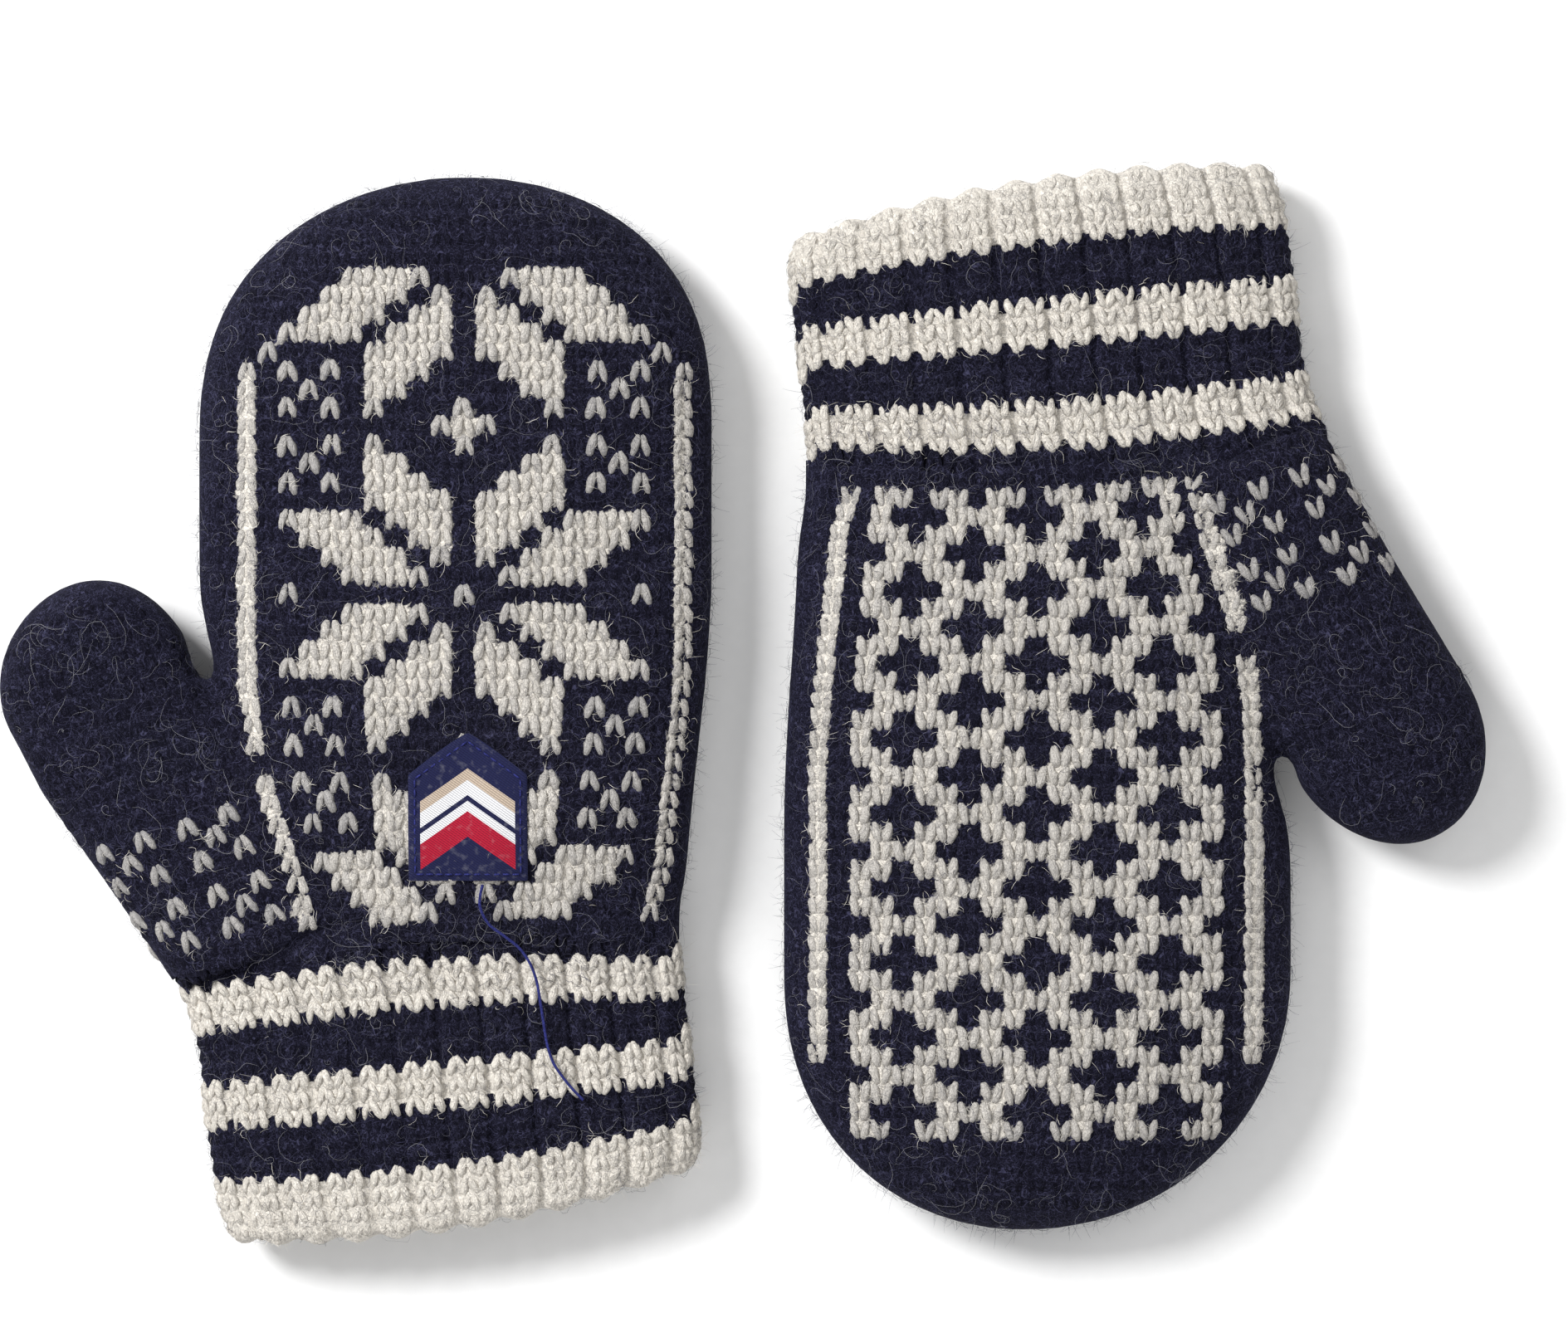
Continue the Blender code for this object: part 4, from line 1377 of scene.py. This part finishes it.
    def thread_end(self) -> tuple[bpy.types.Object, list, float]:
        """The loose end of the sewing thread, lying down over the cuff.

        Returns:
            The thread, its first point in the row frame, and its length.
        """
        route = [Vector(p) for p in self.ROUTE]
        ends = [route[0] * 2 - route[1], *route, route[-1] * 2 - route[-2]]
        fine = []
        for before, start, stop, after in zip(ends, ends[1:], ends[2:], ends[3:]):
            for step in range(8):
                share = step / 8
                linear = (stop - before) * share
                square = (before * 2 - start * 5 + stop * 4 - after) * share**2
                cube = (start * 3 - before - stop * 3 + after) * share**3
                fine.append(start + (linear + square + cube) / 2)
        fine.append(route[-1])
        laid = self.fit.world(np.array([tuple(p) for p in fine]))
        curve = bpy.data.curves.new("label_thread_end", "CURVE")
        curve.dimensions = "3D"
        curve.bevel_depth = self.thread / 2
        curve.bevel_resolution = 3
        curve.use_fill_caps = True
        spline = curve.splines.new("POLY")
        spline.points.add(len(laid) - 1)
        for point, place in zip(spline.points, laid):
            point.co = (*place, 1)
        made = bpy.data.objects.new("label_thread_end", curve)
        bpy.context.scene.collection.objects.link(made)
        made.data.materials.append(SewingThread().material())
        length = float(np.linalg.norm(np.diff(laid, axis=0), axis=1).sum())
        return made, list(laid[0]), length

    def build(self) -> None:
        """The label, its stitches and its thread, each riding on the hand."""
        body = f"{self.fit.side}_hand"
        cloth = self.cloth()
        keep(cloth, body, "woven_label", "woven_label")
        keep(self.stitching(), body, "sewing_thread", "label_stitching")
        thread, leaves, length = self.thread_end()
        keep(thread, body, "sewing_thread", "label_thread")


# ---- One mitten -----------------------------------------------------------------------
def triangles(obj: bpy.types.Object) -> int:
    """How many triangles a mesh object comes to."""
    faces = obj.data.polygons if obj.type == "MESH" else ()
    return sum(face.loop_total - 2 for face in faces)


def note(obj: bpy.types.Object, slot: str, *nodes: str) -> None:
    """Hides the nodes a finished piece stands for, and reports its triangles."""
    if nodes:
        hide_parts(*nodes)
    LOG.info("%s: %d triangles", obj.name, triangles(obj))


def keep(obj: bpy.types.Object, body: str, slot: str, *nodes: str) -> None:
    """Lets a finished piece ride on a body, and hides the nodes it stands for."""
    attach(obj, body)
    note(obj, slot, *nodes)


@dataclass
class MittenLooks:
    """Everything that shows of one mitten."""

    fit: Fit
    felt: float = 2.4 * MM  # thickness of the knitted wall
    fleece: float = 1.6 * MM  # thickness of the lining
    lining_gap: float = 3.4 * MM  # from the outside to the lining
    bend_start: float = 1.0 * MM  # from the thumb's root, along the thumb
    bend_end: float = 15.0 * MM

    def bend(self, obj: bpy.types.Object, slot: str, *nodes: str) -> None:
        """Bakes a finished piece of the thumb into place, and hides the nodes it stands for."""
        fit = self.fit
        ends = [[*(fit.root_middle + fit.way * far), HAND_MIDDLE] for far in (self.bend_start, self.bend_end)]
        start, end = fit.world(np.array(ends))
        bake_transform(obj)
        note(obj, slot, *nodes)

    def hang(self, obj: bpy.types.Object, zone: str, slot: str) -> None:
        """Lets a piece of this zone ride on the hand, or bakes it in place if it is the thumb's."""
        if zone == "thumb":
            self.bend(obj, slot)
        else:
            keep(obj, f"{self.fit.side}_hand", slot)

    def split_skin(self, form: bpy.types.Object, pattern: HandPattern, thumb: bool) -> bpy.types.Object:
        """The hand's or the thumb's share of the felt, as a wall open at the wrist.

        Args:
            form: the whole felted form, in the plan.
            pattern: knows where the thumb begins.
            thumb: whether the thumb's share is wanted.
        Returns:
            The piece.
        """
        name = f"{self.fit.side}_{'thumb' if thumb else 'hand'}_felt"
        made = bpy.data.objects.new(name, form.data.copy())
        bpy.context.scene.collection.objects.link(made)
        mesh = bmesh.new()
        mesh.from_mesh(made.data)
        gone = []
        for part in mesh.faces:
            x, y, _ = part.calc_center_median()
            on_thumb = pattern.on_thumb(x, y) and pattern.beyond_root(x, y) > 0
            below = y < pattern.row_height(max(-60 * MM, min(60 * MM, x)), WRIST_ROW + 0.6 * MM)
            if on_thumb != thumb or below:
                gone.append(part)
        bmesh.ops.delete(mesh, geom=gone, context="FACES")
        mesh.to_mesh(made.data)
        mesh.free()
        thicken(made, self.felt)
        apply_all(made)
        move_points(made, self.fit.world(points_of(made)))
        return made

    def paint(self, obj: bpy.types.Object, stitches: list[Stitch]) -> None:
        """Tells each point of the felt whether the nearest stitches are light."""
        tree = KDTree(len(stitches))
        for k, stitch in enumerate(stitches):
            tree.insert(Vector(self.fit.world(stitch.place[None])[0]), k)
        tree.balance()
        paleness = [(s.yarn is Yarn.CREAM) * (1 - 0.6 * s.tint) for s in stitches]
        values = []
        for point in obj.data.vertices:
            near = tree.find_n(point.co, 2)
            weight = [1 / (distance + 0.4 * MM) for _, _, distance in near]
            share = sum(w * paleness[k] for w, (_, k, _) in zip(weight, near))
            bare = min(max((near[0][2] - 2.7 * MM) / (0.7 * MM), 0.0), 1.0)
            values.append(share / sum(weight) * (1 - bare))
        set_attribute(obj, "cream", np.array(values))

    def lining(self, rings: np.ndarray, name: str) -> bpy.types.Object:
        """A fleece bag through these sections, open at its first one."""
        count, around, _ = rings.shape
        centre = rings[-1].mean(axis=0)
        points = np.concatenate([rings.reshape(-1, 3), centre[None]])
        made = new_object(name, self.fit.world(points), ring_faces(count, around))
        mesh = bmesh.new()
        mesh.from_mesh(made.data)
        mesh.verts.ensure_lookup_table()
        last = (count - 1) * around
        for k in range(around):
            mesh.faces.new((mesh.verts[last + k], mesh.verts[last + (k + 1) % around], mesh.verts[-1]))
        mesh.to_mesh(made.data)
        mesh.free()
        face_outwards(made)
        thicken(made, self.fleece)
        apply_all(made)
        return made

    def build(self, finishes: dict) -> None:
        """Builds, dresses and hangs every piece of this mitten.

        Args:
            finishes: the materials, by name.
        """
        fit = self.fit
        side = fit.side
        skin = Skin(fit)
        form = skin.build()
        ground = Ground(form)
        pattern = HandPattern(fit, ground, skin)
        under_face = Face.PALM if fit.top_face is Face.BACK else Face.BACK
        stitches = pattern.panel(fit.top_face, True) + pattern.panel(under_face, False)
        stitches += pattern.edge_band() + pattern.thumb(True) + pattern.thumb(False)
        knitter = Knitter(fit, ground, 5 + fit.turn)
        first_row = WRIST_ROW - 1.0 * MM
        knitter.knit([s for s in stitches if s.place[1] > pattern.row_height(s.place[0], first_row)])
        felts = {}
        for thumb in (False, True):
            felt = self.split_skin(form, pattern, thumb)
            self.paint(felt, stitches)
            felt.data.materials.append(finishes["felt"])
            felts[thumb] = felt
        keep(felts[False], f"{side}_hand", "navy_wool", f"{side}_hand_shell")
        self.bend(felts[True], "navy_wool", f"{side}_thumb_shell")

        hand_lining = self.lining(skin.hand_rings(self.lining_gap, -9.0 * MM), f"{side}_hand_fleece")
        hand_lining.data.materials.append(finishes["fleece"])
        keep(hand_lining, f"{side}_hand", "fleece", f"{side}_hand_lining")
        thumb_lining = self.lining(skin.thumb_rings(self.lining_gap, True), f"{side}_thumb_fleece")
        thumb_lining.data.materials.append(finishes["fleece"])
        self.bend(thumb_lining, "fleece", f"{side}_thumb_lining")

        cuff = Cuff(fit)
        whole = cuff.wall_piece("cuff form", cuff.top, cuff.hem, True)
        cuff_ground = Ground(whole)
        cuff_stitches = cuff.stitches(np.random.default_rng(90 + fit.turn))
        cuff_knitter = Knitter(fit, cuff_ground, 60 + fit.turn)
        cuff_knitter.knit(cuff_stitches)
        rib = cuff.wall_piece(f"{side}_cuff_ribbing", cuff.top, cuff.split, False)
        edge = cuff.wall_piece(f"{side}_cuff_cast_off", cuff.split, cuff.hem, True)
        for piece, node, slot in ((rib, "cuff_rib", "navy_wool"), (edge, "cuff_edge", "cream_wool")):
            move_points(piece, fit.world(points_of(piece)))
            piece.data.materials.append(finishes["felt"])
            keep(piece, f"{side}_hand", slot, f"{side}_{node}")

        for source in (knitter, cuff_knitter):
            for (zone, yarn), strands in source.strands.items():
                made = strands.mesh(f"{side}_{zone}_stitches_{yarn.value}", fit)
                made.data.materials.append(finishes[yarn.value])
                self.hang(made, zone, f"{yarn.value}_wool")

        self.fuzz(((stitches, ground, None), (cuff_stitches, cuff_ground, "cuff")), finishes)
        if fit.top_face is Face.BACK:
            Label(fit, ground).build()
        drop(form, whole)

    def fuzz(self, sources: tuple, finishes: dict) -> None:
        """Loose fibres over the felt, and short hairs round its outline.

        Args:
            sources: the stitches, the surface they lie on, and their zone if it is one for all.
            finishes: the materials, by name.
        """
        maker = Fuzz(self.fit, 300 + self.fit.turn)
        random = maker.random
        groups: dict[tuple[str, str], Strands] = {}

        def group(zone: str, kind: str) -> Strands:
            """The fibres of this zone and kind."""
            return groups.setdefault((zone, kind), Strands(3))

        for stitches, surface, zone_of in sources:
            for stitch in stitches:
                zone = zone_of or ("thumb" if stitch.zone == "thumb" else "hand")
                upper, light = stitch.normal[2] > -0.2, stitch.yarn is Yarn.CREAM
                for _ in range(random.poisson(LONG_CURL.number if upper else UNDER_CURLS)):
                    start = stitch.place + random.normal(0, LONG_CURL.spread * MM, 3)
                    dark = light and random.random() < DARK_CURLS
                    maker.curl(group(zone, "dark" if dark else "light"), surface, start, LONG_CURL)
                over = (("cream", CREAM_FUZZ), ("dark", DARK_ON_CREAM)) if light else (("navy", NAVY_FUZZ),)
                for name, kind in over if upper else ():
                    for _ in range(random.poisson(kind.number)):
                        start = stitch.place + random.normal(0, kind.spread * MM, 3)
                        maker.curl(group(zone, name), surface, start, kind)
                rim = abs(stitch.normal[2]) < 0.75
                for _ in range(random.poisson(RIM_HAIRS if rim else OTHER_HAIRS)):
                    place, normal = surface.snap(stitch.place + random.normal(0, 1.6 * MM, 3))
                    maker.hair(group(zone, "cream" if light else "navy"), place + normal * 0.4 * MM,
                               normal, random.uniform(1.2, 3.2) * MM, random.uniform(0.02, 0.04) * MM)
        self.weave_groups(groups, finishes)

    def weave_groups(self, groups: dict, finishes: dict) -> None:
        """Makes each group of fibres a piece of its own, one per number of points."""
        for (zone, kind), strands in groups.items():
            tubes = list(zip(strands.lines, strands.normals, strands.radii, strands.flats, strands.tints))
            for points in sorted({len(line) for line in strands.lines}):
                some = Strands(strands.sides)
                for tube in tubes:
                    if len(tube[0]) == points:
                        some.add(*tube)
                made = some.mesh(f"{self.fit.side}_{zone}_fibres_{kind}_{points}", self.fit)
                made.data.materials.append(finishes[f"fibre_{kind}"])
                self.hang(made, zone, "cream_wool" if kind in ("cream", "light") else "navy_wool")


# ---- Set ------------------------------------------------------------------------------
@dataclass(frozen=True)
class Studio:
    """The pale floor, the soft lights and the camera straight above."""

    middle: tuple[float, float] = (8.65 * MM, 8.1 * MM)
    frame_width: float = 321.1 * MM
    lens: float = 120.0
    sensor: float = 36.0

    def camera(self) -> None:
        """A long lens that looks straight down, the fingers of the right mitten up."""
        data = bpy.data.cameras.new("camera")
        data.lens, data.sensor_width = self.lens, self.sensor
        data.clip_start, data.clip_end = 0.05, 20.0
        made = bpy.data.objects.new("camera", data)
        away = self.frame_width / self.sensor * self.lens
        made.location = (*self.middle, away + 14 * MM)
        bpy.context.scene.collection.objects.link(made)
        bpy.context.scene.camera = made

    def light(self, name: str, place: tuple, size: float, power: float, aim: tuple = (0, 0, 0)) -> None:
        """One large soft light."""
        data = bpy.data.lights.new(name, "AREA")
        data.shape, data.size, data.energy = "DISK", size, power
        made = bpy.data.objects.new(name, data)
        made.location = place
        made.rotation_euler = (Vector(aim) - Vector(place)).to_track_quat("-Z", "Y").to_euler()
        bpy.context.scene.collection.objects.link(made)

    def floor(self) -> None:
        """A plain pale surface, with a faint grain."""
        size = 2.0
        points = np.array([(-size, -size, 0), (size, -size, 0), (size, size, 0), (-size, size, 0)], float)
        made = new_object("floor", points, [(0, 1, 2, 3)])
        nodes = Nodes("pale floor", 0.85)
        grain = nodes.noise(300, 3.0)
        colour = nodes.mix(nodes.ramp(grain, 0.3, 0.7), (0.90, 0.90, 0.90), (0.92, 0.92, 0.92))
        made.data.materials.append(nodes.finish(colour, grain, 0.05, 0.05 * MM, 0.0, (1, 1, 1)))

    def build(self) -> None:
        """Camera, lights, floor and the pale surroundings."""
        self.camera()
        self.floor()
        self.light("key", (-0.80, 0.55, 0.95), 0.50, 21.0)
        self.light("fill", (0.7, 0.6, 1.3), 1.0, 4.0)
        self.light("front", (0.0, -0.9, 1.1), 0.9, 4.0)
        world = bpy.data.worlds.new("studio")
        world.use_nodes = True
        world.node_tree.nodes["Background"].inputs["Color"].default_value = (1.0, 1.0, 1.0, 1.0)
        world.node_tree.nodes["Background"].inputs["Strength"].default_value = 0.42
        bpy.context.scene.world = world
        bpy.context.scene.view_settings.view_transform = "Standard"


FINISHES = {
    "felt": Felt(),
    "fleece": Fleece(),
    "navy": NAVY_WOOL,
    "cream": CREAM_WOOL,
    "fibre_light": LooseFibres("loose pale fibres", pale=(0.40, 0.40, 0.43), dark=(0.07, 0.07, 0.12)),
    "fibre_dark": LooseFibres("loose dark fibres", pale=(0.10, 0.10, 0.13), dark=(0.02, 0.02, 0.04)),
    "fibre_cream": LooseFibres("cream fuzz", pale=(0.62, 0.585, 0.53), dark=(0.88, 0.84, 0.77)),
    "fibre_navy": LooseFibres("navy fuzz", pale=(0.07, 0.07, 0.14), dark=(0.010, 0.010, 0.024)),
}


def main() -> None:
    """Builds both mittens and the set around them."""
    logging.basicConfig(level=logging.INFO, format="%(name)s: %(message)s")
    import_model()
    Studio().build()
    made = {name: finish.material() for name, finish in FINISHES.items()}
    for fit in placed_fits():
        MittenLooks(fit).build(made)


if __name__ == "__main__":
    main()
